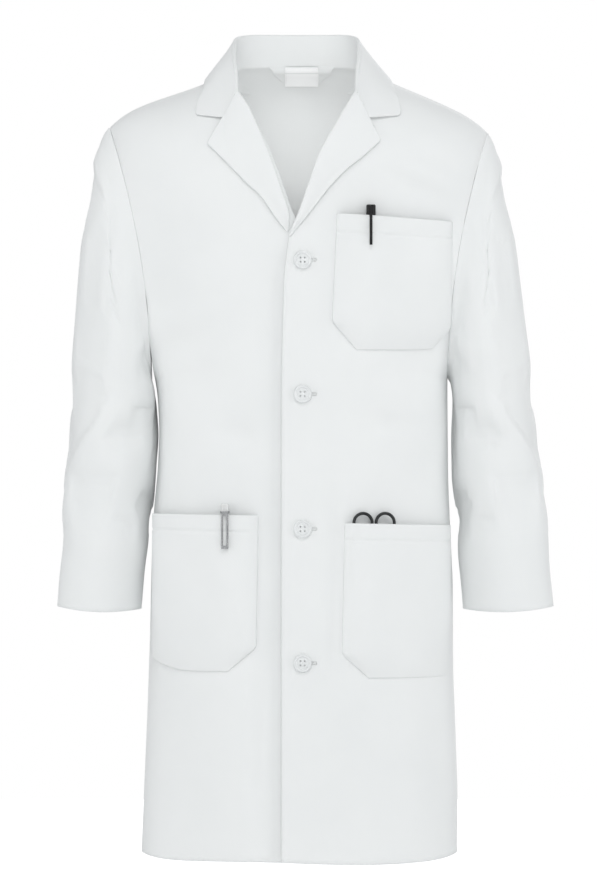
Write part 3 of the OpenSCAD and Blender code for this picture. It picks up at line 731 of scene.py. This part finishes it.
def back():
    z0, z1, follow = row_ends(ROWS)
    z0 = mix(z0 - NECK_TOP, z0, np.clip(np.arange(ROWS) / 60, 0, 1))
    halves = [body_rows(own, BACK, np.zeros(ROWS), z0, z1, follow, COLS, 0) for own in (-1, 1)]
    g = np.concatenate([halves[0][:, ::-1], halves[1][:, 1:]], 1)
    g[..., 2] += NECK_RISE * smooth((87 - np.abs(g[..., 0])) / 22) * smooth((g[..., 2] + 70) / 70)
    hems = [hem_band(f"back_{name}_hem_band", own, BACK, 0.2, 40) for own, name in SIDES]
    thread = stitch_piece("back_stitches", [hem_stitches(g, 440, True)])
    obj = sheet_object("back_cloth", g, MATERIALS["outer_cloth"], THICK["body"], flip=True)
    place_sheet(obj, g, "outer_cloth", ["back_left", "back_right", "back_hem"], trims=[*hems, thread])


# ---------------------------------------------------------------- sleeves
SLEEVE_GAP = 0.9
# a sleeve's outer edge as (how far down, x, z, half its depth) and inner edge as (how far down, x, z, how far
# the sleeve lies forward)
SLEEVE_OUTER = [
    (0, SHOULDER_HALF + SLEEVE_GAP, -ARM_TOP, ARM_HALF_DEPTH), (0.06, 240, -92, 66), (0.12, 246.5, -114, 67),
    (0.2, 253, -150, 68), (0.3, 261.5, -205, 68), (0.42, 270, -275, 67), (0.54, 279.5, -355, 64),
    (0.62, 286, -418, 61), (0.75, 295.5, -497, 57), (0.88, 304, -578, 52), (1, 311, -657, 48)]
SLEEVE_INNER = [
    (0, CHEST_HALF + SLEEVE_GAP, -ARM_BOTTOM, 0), (0.06, 183.4, -378.5, 0), (0.12, 184, -380, 0),
    (0.2, 184.6, -383, 0), (0.3, 185.4, -387, 0), (0.42, 186.5, -395, 0), (0.54, 187.6, -407, 0),
    (0.62, 188.5, -419, 0), (0.75, 190, -498, 2), (0.88, 195, -580, 6), (1, 201, -660, 10)]
# how far the right sleeve hangs inside the left one's mirror image, at its outer and inner edges, by per cent
# of the way down
RIGHT_OUTER_IN = soft_table([
    (0, 0), (8, -2.5), (20, -3), (34, -2), (42, 0), (54, 4), (62, 7), (75, 12), (88, 14), (100, 15)], 8)
RIGHT_INNER_IN = soft_table([
    (0, 0), (12, 2), (30, 6), (42, 10), (54, 13), (62, 14), (75, 11.7), (88, 9), (100, 7)], 8)
CUFF_DIP = 5  # how much lower the cuff is at its front and back than at its edges
SLEEVE_BEND = (398, 486)  # from where to where the sleeve bends, along its slanting direction
BEND_X, BEND_Z = 0.7, -0.714  # that direction
RINGS, AROUND = 150, 96  # of a sleeve
RING_STEP = 4.3  # about the distance between the lowest rings
CUFF_TURN = 18  # from the cuff's edge up to its stitches
CUFF_START, CUFF_END = 0.972, 0.999  # how far down the sleeve its turned-up hem starts and ends
FOLD_MOST = 3.4  # how far the draped folds may stand out


def sleeve_rings(rings, around, shrink=0.0, first=0.0, last=1.0):
    """Rings of points round the left sleeve, from the armhole down, drawn in by shrink."""
    v = np.linspace(first, last, rings)
    table = [np.array(t, float) for t in (SLEEVE_OUTER, SLEEVE_INNER)]
    blur = np.hanning(9) / np.hanning(9).sum()
    dense = np.linspace(-0.1, 1.1, 241)
    out = []
    for t in table:
        cols = []
        for k in (1, 2, 3):
            line = np.interp(dense, t[:, 0], t[:, k])
            start = (t[1, k] - t[0, k]) / (t[1, 0] - t[0, 0])
            end = (t[-1, k] - t[-2, k]) / (t[-1, 0] - t[-2, 0])
            line = np.where(dense < 0, t[0, k] + start * dense, line)
            line = np.where(dense > 1, t[-1, k] + end * (dense - 1), line)
            cols.append(np.interp(v, dense[4:-4], np.convolve(line, blur, "valid")))
        out.append(np.stack(cols, -1)[:, None, :])
    o, i = out
    v = v[:, None]
    a = np.radians(np.arange(around) * 360.0 / around)[None, :]
    f = (1 - np.cos(a)) / 2
    scoop = ARM_SCOOP * np.maximum(0, 1 - v / 0.3) ** 2 * np.sin(a) ** 2
    x = mix(o[..., 0] - shrink, i[..., 0] + shrink, f) - scoop
    y = -(o[..., 2] - shrink) * np.sin(a) - i[..., 2]
    z = mix(o[..., 1], i[..., 1], f) - CUFF_DIP * np.sin(a) ** 2 * smooth((v - 0.78) / 0.22)
    hole_z = ARM_MID + ARM_HALF * np.cos(a) + 0 * v
    hole_x = side_x(hole_z)
    hole_y = np.where(np.sin(a) < 0, 1, -1) * depth(hole_x - 0.01, hole_z)
    w = smooth(v / 0.14)
    return np.stack([mix(hole_x + SLEEVE_GAP, x, w), mix(hole_y, y, w), mix(hole_z, z, w)], -1)


def hang_closer(g, first=0.0, last=1.0):
    """The right sleeve's rings, before they are mirrored: nearer to the body than the left one's."""
    v = 100 * np.linspace(first, last, g.shape[0])[:, None]
    f = (1 - np.cos(2 * np.pi * np.arange(g.shape[1]) / g.shape[1]))[None, :] / 2
    inward = mix(RIGHT_OUTER_IN(v), RIGHT_INNER_IN(v), f)
    return g - np.stack([inward, 0 * inward, 0 * inward], -1)


def drape_sleeve(g):
    """Folds of a hanging sleeve: the cloth is let out a little and settles between its two ends."""
    rings, around = g.shape[:2]
    index = np.arange(rings * around).reshape(rings, around)
    right = np.roll(index, -1, 1)
    faces = np.stack([index[:-1].ravel(), right[:-1].ravel(), right[1:].ravel(), index[1:].ravel()], -1)
    obj = new_object("drape", g.reshape(-1, 3), faces.tolist())
    pin = obj.vertex_groups.new(name="pin")
    at = np.repeat(np.linspace(0, 1, rings), around)
    hold = np.clip(np.maximum(1 - at / 0.10, (at - 0.93) / 0.05), 0, 1)
    for k, w in enumerate(hold):
        if w > 0:
            pin.add([k], float(w), "REPLACE")
    modifier = obj.modifiers.new("cloth", "CLOTH")
    cloth = modifier.settings
    cloth.quality = 6
    cloth.mass = 0.12
    cloth.tension_stiffness = cloth.compression_stiffness = 14
    cloth.shear_stiffness = 4
    cloth.bending_stiffness = 0.35
    cloth.vertex_group_mass = "pin"
    cloth.shrink_min = -0.045
    cloth.effector_weights.gravity = 0.25
    frames = 26
    modifier.point_cache.frame_start = 1
    modifier.point_cache.frame_end = frames
    scene = bpy.context.scene
    for k in range(1, frames + 1):
        scene.frame_set(k)
    done = obj.evaluated_get(bpy.context.evaluated_depsgraph_get())
    co = np.empty(len(done.data.vertices) * 3, np.float32)
    done.data.vertices.foreach_get("co", co)
    moved = co.reshape(rings, around, 3).astype(float) / MM - g
    mesh = obj.data
    bpy.data.objects.remove(obj)
    bpy.data.meshes.remove(mesh)
    scene.frame_set(1)
    return moved


def only_folds(moved):
    """Leaves the folds of the drape and takes away the broad pull inwards, and fades at both ends."""
    rings = moved.shape[0]
    wide, long = 5, 7
    across = sum(np.roll(moved, k, 1) for k in range(-wide, wide + 1)) / (2 * wide + 1)
    padded = np.concatenate([across[:1]] * long + [across] + [across[-1:]] * long)
    broad = sum(padded[k:k + rings] for k in range(2 * long + 1)) / (2 * long + 1)
    at = np.linspace(0, 1, rings)
    fade = smooth((at - 0.06) / 0.16) * smooth((0.9 - at) / 0.14)
    return (moved - broad) * fade[:, None, None]


def soft_cap(moved, most):
    """Caps how far a point may move, gently."""
    size = np.linalg.norm(moved, axis=-1, keepdims=True)
    return moved * (most * np.tanh(size / most) / np.maximum(size, 1e-9))


def refine(field, rings, around):
    """A field on a coarse tube grid, on a finer one."""
    r = np.linspace(0, field.shape[0] - 1, rings)
    c = np.arange(around) * field.shape[1] / around
    i, j = np.minimum(np.floor(r).astype(int), field.shape[0] - 2), np.floor(c).astype(int)
    fi = smooth(r - i)[:, None, None]
    fj = smooth(c - j)[None, :, None]
    j1 = (j + 1) % field.shape[1]
    top = mix(field[i][:, j], field[i][:, j1], fj)
    low = mix(field[i + 1][:, j], field[i + 1][:, j1], fj)
    return mix(top, low, fi)


def creases(g, own):
    """The soft creases that a sleeve keeps: down from the armhole, and slanting above and below the elbow."""
    rings, around = g.shape[:2]
    a = np.radians(np.arange(around) * 360.0 / around)[None, :]
    v = np.linspace(0, 1, rings)[:, None]
    z = g[..., 2]
    turn = np.mod(a + 0.9 * (v - 0.5), 2 * math.pi)
    long = -2.6 * np.exp(-((turn - 1.95) / 0.16) ** 2) * smooth(v / 0.2) * smooth((0.62 - v) / 0.3)
    slant = 2.2 * np.sin((z + 46 * np.cos(a - 0.7)) / 15.0) * bump(z, -415, 62)
    slant = slant * (0.6 + 0.4 * np.sin(a + 0.4 * own))
    low = 1.5 * np.sin((z - 40 * np.cos(a + 1.0)) / 21.0 + own) * bump(z, -560, 60)
    n = grid_normals(g, closed=True) * (-own)
    return n * (long + slant + low)[..., None]


def sleeves():
    base = sleeve_rings(RINGS, AROUND)
    coarse = sleeve_rings(62, 48)
    moved = soft_cap(only_folds(drape_sleeve(coarse)), FOLD_MOST)
    at = np.linspace(0, 1, RINGS)
    hold = smooth(at / 0.08) * smooth((1 - at) / 0.05)
    for own, name in SIDES:
        side = np.array([own, 1, 1.0])
        flip = own > 0
        arm = f"{name}_arm"
        g = base + refine(moved, RINGS, AROUND)
        g = hang((g if own > 0 else hang_closer(g)) * side, hem=False)
        g = g + creases(g, own) * hold[:, None, None]
        bend = ("coat", arm, *((own * BEND_X * along, 0, BEND_Z * along) for along in SLEEVE_BEND))
        # the cuff's hem, turned up inside
        inner = sleeve_rings(8, AROUND, 1.3, CUFF_START, CUFF_END)
        inner = (inner if own > 0 else hang_closer(inner, CUFF_START, CUFF_END)) * side
        band = tube_object(f"{name}_cuff_band", inner, MATERIALS["inner_cloth"], THICK["cuff"], flip)
        place(band, "inner_cloth", arm, nodes=[f"{name}_cuff_hem"])
        wrap = np.concatenate([g, g[:, :2]], 1)
        up = RINGS - 1 - CUFF_TURN / RING_STEP
        line = grid_line(wrap, up, np.linspace(0.2, AROUND + 0.2, 300), 0.6, flip)
        thread = stitch_piece(f"{name}_cuff_stitches", [line], arm)
        obj = tube_object(f"{name}_sleeve_cloth", g, MATERIALS["outer_cloth"], THICK["sleeve"], flip)
        place_sheet(obj, g, "outer_cloth", [f"{name}_sleeve_upper", f"{name}_sleeve_lower"], bend=bend,
                    rests=f"{name}_front_cloth", closed=True, trims=[band, thread])


# ---------------------------------------------------------------- collar and lapels
ROLL_LIFT = 6.4  # how high the roll stands off the front
ROLL_REACH = 1.8  # how far the turned edge reaches past the roll line
ROLL = {
    1: [(69, -31), (50.5, -62), (28, -102), (17.5, -130), (7, -161), (-1, -183), (-12, -205)],
    -1: [(75.5, -31), (63, -50), (44, -92), (33, -121), (23.5, -150), (15.5, -174), (12.5, -196)],
}
LAPEL_EDGE = {
    1: [(99, -89), (81, -105.5), (58, -124), (41, -141), (28, -157), (11, -179), (-11.5, -206)],
    -1: [(112, -93), (96, -108.5), (79.5, -125), (63, -142), (46, -158), (28, -184), (14.5, -201)],
}
NOTCH = {1: (82, -62), -1: (91, -61.5)}
COLLAR_TIP = {1: (124, -58), -1: (127, -57)}


def lifted(own, x, z, lift):
    """Points of a collar or lapel, lift off the front under them."""
    return seen_at(own * np.asarray(x, float), z, FRONT, front_off(np.asarray(x, float), own) + lift)


def past_roll(roll):
    """Directions from a roll line towards the neck opening, square to the line."""
    along = np.gradient(roll, axis=0)
    return unit(np.stack([along[:, 1], -along[:, 0]], -1))


def symmetric(points, u):
    """A smooth curve through points whose first one is on the middle plane, square to that plane."""
    first = (-points[1][0], points[1][1], points[1][2])
    n = len(points) - 1
    return through([first, *points], (1 + np.asarray(u) * n) / (n + 1))


def collar_lines(own):
    """Seam, fold, middle and outer edge of half the collar, from the middle of the back to the front."""

    def at(x, z, lift):
        return tuple(lifted(own, x, z, lift) * np.array([own, 1, 1.0]))

    g, n, t = ROLL[own][0], NOTCH[own], COLLAR_TIP[own]
    slim = 6.5 if own > 0 else 0
    seam = [(0, 60, 4.5), (34, 55, 4.5), (61, 41, 3), (79 - slim / 2, 21, 0), (86 - slim, -6, -5),
            (86 - slim, -38, -10), (82 - slim, -62, -18), at(*g, 1.0)]
    fold = [(0, 54, 42.5), (34, 51.5, 42.5), (60 - slim / 2, 40, 42), (76 - slim, 17, 38.5),
            (79.5 - slim, -10, 30), (79.5 - slim, -42, 14), (77 - slim, -68, -6), at(*g, ROLL_LIFT)]
    if own > 0:
        side = [(88, 34, 10), (94.5, -2, 8), (97, -44, -7)]
        edge = [(102, 46, -22), (110.5, 4, -11.5), at(117, -28, 3.2), at(122, -44, 3.0)]
    else:
        side = [(91, 34, 11), (98, -2, 10), (101, -44, -5)]
        edge = [(106, 45, -21), (114, 4, -11), at(118.5, -28, 3.2), at(124.5, -43, 3.0)]
    middle = [(0, 79, 14), (39, 76, 14), (72, 60, 12), *side, at(97, -33, 5.5), at(*n, 4.6)]
    outer = [(0, 98, -27), (46, 94, -27), (84, 72, -25), *edge, at(*t, 2.8)]
    return seam, fold, middle, outer


def collars():
    cols = 100
    stand_rows, fold_rows, fall_rows = 14, 10, 40
    half = 1.7  # half the fold's width
    mid = 0.45  # how far down the fall its middle line is
    for own, name in SIDES:
        seam, fold, middle, outer = collar_lines(own)
        u = np.linspace(0, 1, cols)
        s, f = symmetric(seam, u), symmetric(fold, u)
        tangent = np.gradient(f, axis=0)
        flat = unit(np.stack([tangent[:, 1], -tangent[:, 0], np.zeros(cols)], -1))
        flat *= np.sign((flat * (symmetric(outer, u) - f)).sum(1, keepdims=True) + 1e-9)
        flat[0] = (0, 1, 0)
        rows = []
        for k in range(stand_rows):
            c = k / stand_rows
            belly = 3.0 * math.sin(math.pi * c) * (1 - u[:, None] ** 3)
            rows.append(mix(s, f - flat * half, c) - flat * belly)
        for k in range(fold_rows):
            a = math.pi * k / fold_rows
            rows.append(f - flat * half * math.cos(a) + np.array([0, 0, 1.0]) * half * math.sin(a))
        for k in range(fall_rows + 1):
            c = np.full(cols, k / fall_rows)
            uu, cc = round_corner(u, c, 60, 70, 4)
            m, o, ff = symmetric(middle, uu), symmetric(outer, uu), symmetric(fold, uu) + flat * half
            cc = cc[:, None]
            curve = ff * (cc - mid) * (cc - 1) / mid + m * cc * (cc - 1) / (mid * (mid - 1))
            curve = curve + o * cc * (cc - mid) / (1 - mid)
            straight = np.where(cc < mid, mix(ff, m, cc / mid), mix(m, o, (cc - mid) / (1 - mid)))
            rows.append(mix(curve, straight, smooth((uu[:, None] - 0.62) / 0.28)))
        g = np.stack(rows) * np.array([own, 1, 1.0])
        # its front end is sewn to the lapel: it turns at the roll line just as the lapel does
        roll = np.array(ROLL[own][:2], float)
        away = past_roll(roll)[0]
        a = -math.pi / 2 + math.pi * np.arange(fold_rows) / fold_rows
        q = roll[0] + away * ROLL_REACH * np.cos(a)[:, None]
        turn = lifted(own, q[:, 0], q[:, 1], mix(1.0, ROLL_LIFT, 0.5 + 0.5 * np.sin(a)))
        sewn = smooth((u - 0.80) / 0.20)[:, None]
        hidden = lifted(own, roll[0, 0] + 3.0, roll[0, 1] - 1.0, 0.9)
        for k in range(stand_rows):
            g[k] = mix(g[k], mix(hidden, turn[0], k / stand_rows), sewn)
        for k in range(fold_rows):
            g[stand_rows + k] = mix(g[stand_rows + k], turn[k], sewn)
        # at the middle of the back each half runs a little way into the other one
        past = mix(g[:, :1], g[:, 1:2], 0.5) * np.array([-1, 1, 1.0])
        g = np.concatenate([past, g], 1)
        thick = np.array([THICK["collar_middle"]] + [THICK["collar"]] * cols)
        obj = sheet_object(f"{name}_collar_cloth", g, MATERIALS["outer_cloth"], thick, flip=own < 0)
        bend = ("coat", f"{name}_lapel", (0, -36, -27), (0, -68, -51))
        points, normals = grid_line(g, 1.6, np.linspace(1.1, cols - 24, 240), -0.95, flip=own < 0)
        thread = stitch_piece(f"{name}_collar_stitches", [(points, -normals)], bend=bend)
        place_sheet(obj, g, "outer_cloth", ["collar_stand", "collar_fall"], "folded", "back_cloth",
                    bend=bend, trims=[thread])


def lapels():
    rows, cols, turn_cols = 100, 40, 10
    for own, name in SIDES:
        w = np.linspace(0, 1, rows)[:, None] * np.ones(cols)
        c = np.linspace(0, 1, cols)[None, :] * np.ones((rows, 1))
        w2, c2 = round_corner(1 - w, c, 200, 62, 4)
        w2 = 1 - w2
        p = mix(through(ROLL[own], w2), through(LAPEL_EDGE[own], w2), c2[..., None])
        # its top edge runs a little under the collar's end
        under = smooth(1 - w2 / 0.02) * smooth((0.5 - c2) / 0.1)
        p = p + np.array([0.35, 0.75]) * under[..., None]
        taper = smooth((1 - w2) / 0.14)
        lift = mix(ROLL_LIFT, 3.0, smooth(c2 * 1.15)) + 1.5 * np.sin(np.pi * c2) * (1 - w2)
        lift = lift * taper + 1.6 * (1 - taper)
        top = lifted(own, p[..., 0], p[..., 1], lift)
        r = through(ROLL[own], w[:, 0])
        away = past_roll(r)
        turned = []
        for k in range(turn_cols):
            a = -math.pi / 2 + math.pi * k / turn_cols
            q = r + away * ROLL_REACH * math.cos(a) * taper[:, :1]
            up = mix(1.0 * taper[:, 0], lift[:, 0], 0.5 + 0.5 * math.sin(a))
            turned.append(lifted(own, q[:, 0], q[:, 1], up))
        g = np.concatenate([np.stack(turned, 1), top], 1)
        obj = sheet_object(f"{name}_lapel_cloth", g, MATERIALS["outer_cloth"], THICK["lapel"], flip=own < 0)
        # the bend about the line from one end of its roll to the other
        bend = bend_over(f"{name}_lapel", own, ROLL[own][0], ROLL[own][-1], 6, 10)
        place_sheet(obj, g, "outer_cloth", [f"{name}_lapel"], "folded", f"{name}_front_cloth", bend=bend)


# ---------------------------------------------------------------- inside the back of the neck
def neck_inside():
    def patch(half_top, half_bottom, z_top, z_bottom, off):
        f = np.linspace(0, 1, 14)[:, None]
        half = mix(half_top, half_bottom, f)
        x = 3 + mix(-half, half, np.linspace(0, 1, 24)[None, :])
        return on_body(x, mix(z_top, z_bottom, f) + 0 * x, BACK, off)

    g = patch(44, 24, 7, -10, -2 * LAYER)
    facing = sheet_object("neck_facing_cloth", g, MATERIALS["inner_cloth"], THICK["neck_facing"])
    place_sheet(facing, g, "inner_cloth", ["back_neck_facing"], "laid", "back_cloth")
    g = patch(21, 21, 5, -14.5, -3.2 * LAYER)
    n = g.shape[1] - 2.0
    down, across, lift = np.linspace(1, g.shape[0] - 2, 60), np.linspace(1, n, 80), -0.3
    border = [grid_line(g, rows, cols, lift) for rows, cols in ((down, 1.0), (down, n), (1.0, across))]
    border = [(points, -normals) for points, normals in border]
    thread = stitch_piece("neck_label_stitches", border, pitch=2.0, length=1.5, width=0.35)
    label = sheet_object("neck_label_cloth", g, MATERIALS["label_cloth"], THICK["label"])
    place_sheet(label, g, "label_cloth", ["neck_label"], "laid", "neck_facing_cloth", trims=[thread])


# ---------------------------------------------------------------- pockets
def soft_step(f, at, reach):
    """0 before at, then a slope with a rounded start that comes to 1 where f is 1."""
    t = (f - at) / (1 - at)
    return np.where(t > reach, t - reach / 2, np.where(t > 0, t * t / (2 * reach), 0)) / (1 - reach / 2)


def chest_sides(f):
    """The inner and outer x of the chest pocket, at f from its top to its bottom."""
    inner = mix(46, 40, np.clip(f / 0.78, 0, 1)) + 29 * soft_step(f, 0.77, 0.2)
    outer = mix(186, 184, np.clip(f / 0.8, 0, 1)) - 23 * soft_step(f, 0.82, 0.2)
    return inner, outer


def left_hip_sides(f):
    return mix(55, 52, np.clip(f / 0.8, 0, 1)) + 31 * soft_step(f, 0.83, 0.2), 183 + 1.5 * f


def right_hip_sides(f):
    return mix(50, 52.5, np.clip(f / 0.8, 0, 1)) + 34 * soft_step(f, 0.83, 0.2), 178 + 1.0 * f


# name, side, sides, z at the inner and outer top, z at the inner and outer bottom, hem, fullness and
# what stands out over the thing it holds: (x, how far, how wide)
POCKETS = (
    ("chest_pocket", 1, chest_sides, (-179, -188), (-344, -342), 22, 8.6, (87, 5.2, 30)),
    ("left_hip_pocket", 1, left_hip_sides, (-555.5, -558.5), (-743, -741), 20, 9.0, (97, 5.4, 46)),
    ("right_hip_pocket", -1, right_hip_sides, (-546, -544), (-735, -718), 20, 8.2, (90.5, 4.4, 30)),
)


def pocket_lift(x, f, x0, x1, fullness, over, hem_f):
    c = np.clip((x - x0) / (x1 - x0), 0, 1)
    across = 1 - np.abs(2 * c - 1) ** 9
    down = 1 - np.clip(f, 0, 1) ** 7
    creased = (0.7 * np.sin(x / 13.0 + 3.0 * f) + 0.5 * np.sin((x + 90 * f) / 9.0)) * f * (1 - f) * 4
    held_x, held_out, held_wide = over
    held = held_out * bump(x, held_x, held_wide) * (1 - 0.35 * f)
    groove = 1.1 * bump(f, hem_f, 0.009)
    return across * down * (fullness + creased + held) - groove


def pockets():
    rows, cols = 120, 70
    from_edge = 2.2
    for name, own, sides, top, bottom, hem, fullness, over in POCKETS:
        f = np.linspace(0, 1, rows)[:, None]
        c = np.linspace(0, 1, cols)[None, :]
        x0, x1 = sides(f)
        x = mix(x0, x1, c)
        z = mix(mix(top[0], top[1], c), mix(bottom[0], bottom[1], c**5), f)
        lift = pocket_lift(x, f, x0, x1, fullness, over, hem / (top[0] - bottom[0]))
        g = on_body(own * x, z, FRONT, front_off(x, own) + 1.5 + lift)
        flip = own < 0
        down = (top[0] - bottom[0]) / (rows - 1)
        part = (slice(1, int(round(hem / down))), slice(2, cols - 2))
        inside = front_off(x[part], own) + 0.7 + 0.93 * lift[part]
        band = on_body(own * x[part], z[part], FRONT, inside)
        band = sheet_object(f"{name}_hem_band", band, MATERIALS["inner_cloth"], THICK["pocket_hem"], flip)
        place(band, "inner_cloth", nodes=[f"{name}_hem"])
        across = float(np.linalg.norm(g[40, 1] - g[40, 0]))
        near = from_edge / across
        far = cols - 1 - near
        lowest = rows - 1 - from_edge / down
        side = np.linspace(0, lowest, 160)
        # along the hem, down both sides and along the bottom
        runs = ((hem / down, np.linspace(0, cols - 1, 160)), (side, near), (side, far),
                (lowest, np.linspace(near, far, 160)))
        thread = stitch_piece(f"{name}_stitches", [grid_line(g, *run, STITCH_LIFT, flip) for run in runs])
        obj = sheet_object(f"{name}_cloth", g, MATERIALS["outer_cloth"], THICK["pocket"], flip)
        front = "left_front_cloth" if own > 0 else "right_front_cloth"
        place_sheet(obj, g, "outer_cloth", [name], rests=front, trims=[band, thread])


# ---------------------------------------------------------------- buttonholes
OVER_LEFT = 2 * LAYER + 0.9  # how far off the body the stitches on the overlapping front are


def buttonholes():
    """Close stitches on both sides of each buttonhole and across its ends."""
    half_long, half_wide, inner = 12.0, 1.5, 0.35
    middle = BUTTON_X + 4
    outwards = np.array([(0, -1.0, 0)] * 2)
    lines = []
    for drop in BUTTON_DROPS:
        for x in middle - half_long + 2 * half_long * np.arange(58) / 57:
            for up in (-1, 1):
                z = -drop + np.array([up * inner, up * (half_wide + 0.9)])
                lines.append((on_body(np.full(2, x), z, FRONT, OVER_LEFT), outwards))
        for end in (-1, 1):
            x = middle + end * (half_long + np.array([0.0, 1.6]))
            for z in np.linspace(-1.8, 1.8, 9):
                lines.append((on_body(x, np.full(2, -drop + z), FRONT, OVER_LEFT), outwards))
    stitch_piece("buttonhole_stitches", lines, pitch=2.0, length=1.55)


def rod(ends, r):
    """Verts and faces of a round rod between two points, with its ends chamfered."""
    sides = 12
    a, b = (np.array(p, float) for p in ends)
    along = unit(b - a)
    across = unit(np.cross(along, (0.3, 0.2, 0.9)))
    turn = 2 * np.pi * np.arange(sides) / sides
    ring = np.cos(turn)[:, None] * across + np.sin(turn)[:, None] * np.cross(along, across)
    tip, past = ring * r * 0.6, along * r * 0.5
    rings = [a + tip - past, a + ring * r, b + ring * r, b + tip + past]
    faces = [list(range(sides))[::-1], [3 * sides + k for k in range(sides)]]
    for row in range(3):
        for k in range(sides):
            n = (k + 1) % sides
            base = row * sides
            faces.append([base + k, base + n, base + sides + n, base + sides + k])
    return np.concatenate(rings), faces


def button_threads():
    """Thread down through the four holes, across between them and gathered into a shank."""
    pitch, deep = 2.6, OVER_LEFT
    thin, thick = 0.2, 1.0
    verts, faces = [], []
    for drop in BUTTON_DROPS:
        y = -(BODY_HALF_DEPTH + HEM_FLARE * drop / HEM_DROP) - deep

        def at(x, out, up, y=y, drop=drop):
            return BUTTON_X + x, y - out, -drop + up

        rods = [((at(0, -deep + 0.6, 0), at(0, -0.2, 0)), thick)]
        for up in (-pitch, pitch):
            rods.append(((at(-pitch, 1.9, up), at(pitch, 1.9, up)), thin))
            for x in (-pitch, pitch):
                rods.append(((at(x * 0.4, -0.5, up * 0.4), at(x, 0.2, up)), thin))
                rods.append(((at(x, 0.1, up), at(x, 1.8, up)), thin))
        for ends, r in rods:
            v, f = rod(ends, r)
            base = sum(len(part) for part in verts)
            verts.append(v)
            faces += [[base + k for k in face] for face in f]
    obj = new_object("button_thread", np.concatenate(verts), faces, None, MATERIALS["thread"])
    place(obj, "thread", nodes=["button_threads"])


# ---------------------------------------------------------------- the carried-over CAD pieces
def finish_cad_nodes():
    slots = {row["node"]: row["material_slot"] for row in frame["record"]["subparts"]}
    for node, obj in frame["nodes"].items():
        if not obj.hide_render:
            obj.data.materials.clear()
            obj.data.materials.append(MATERIALS[slots[node]])


fronts()
back()
sleeves()
collars()
lapels()
neck_inside()
pockets()
buttonholes()
button_threads()
finish_cad_nodes()
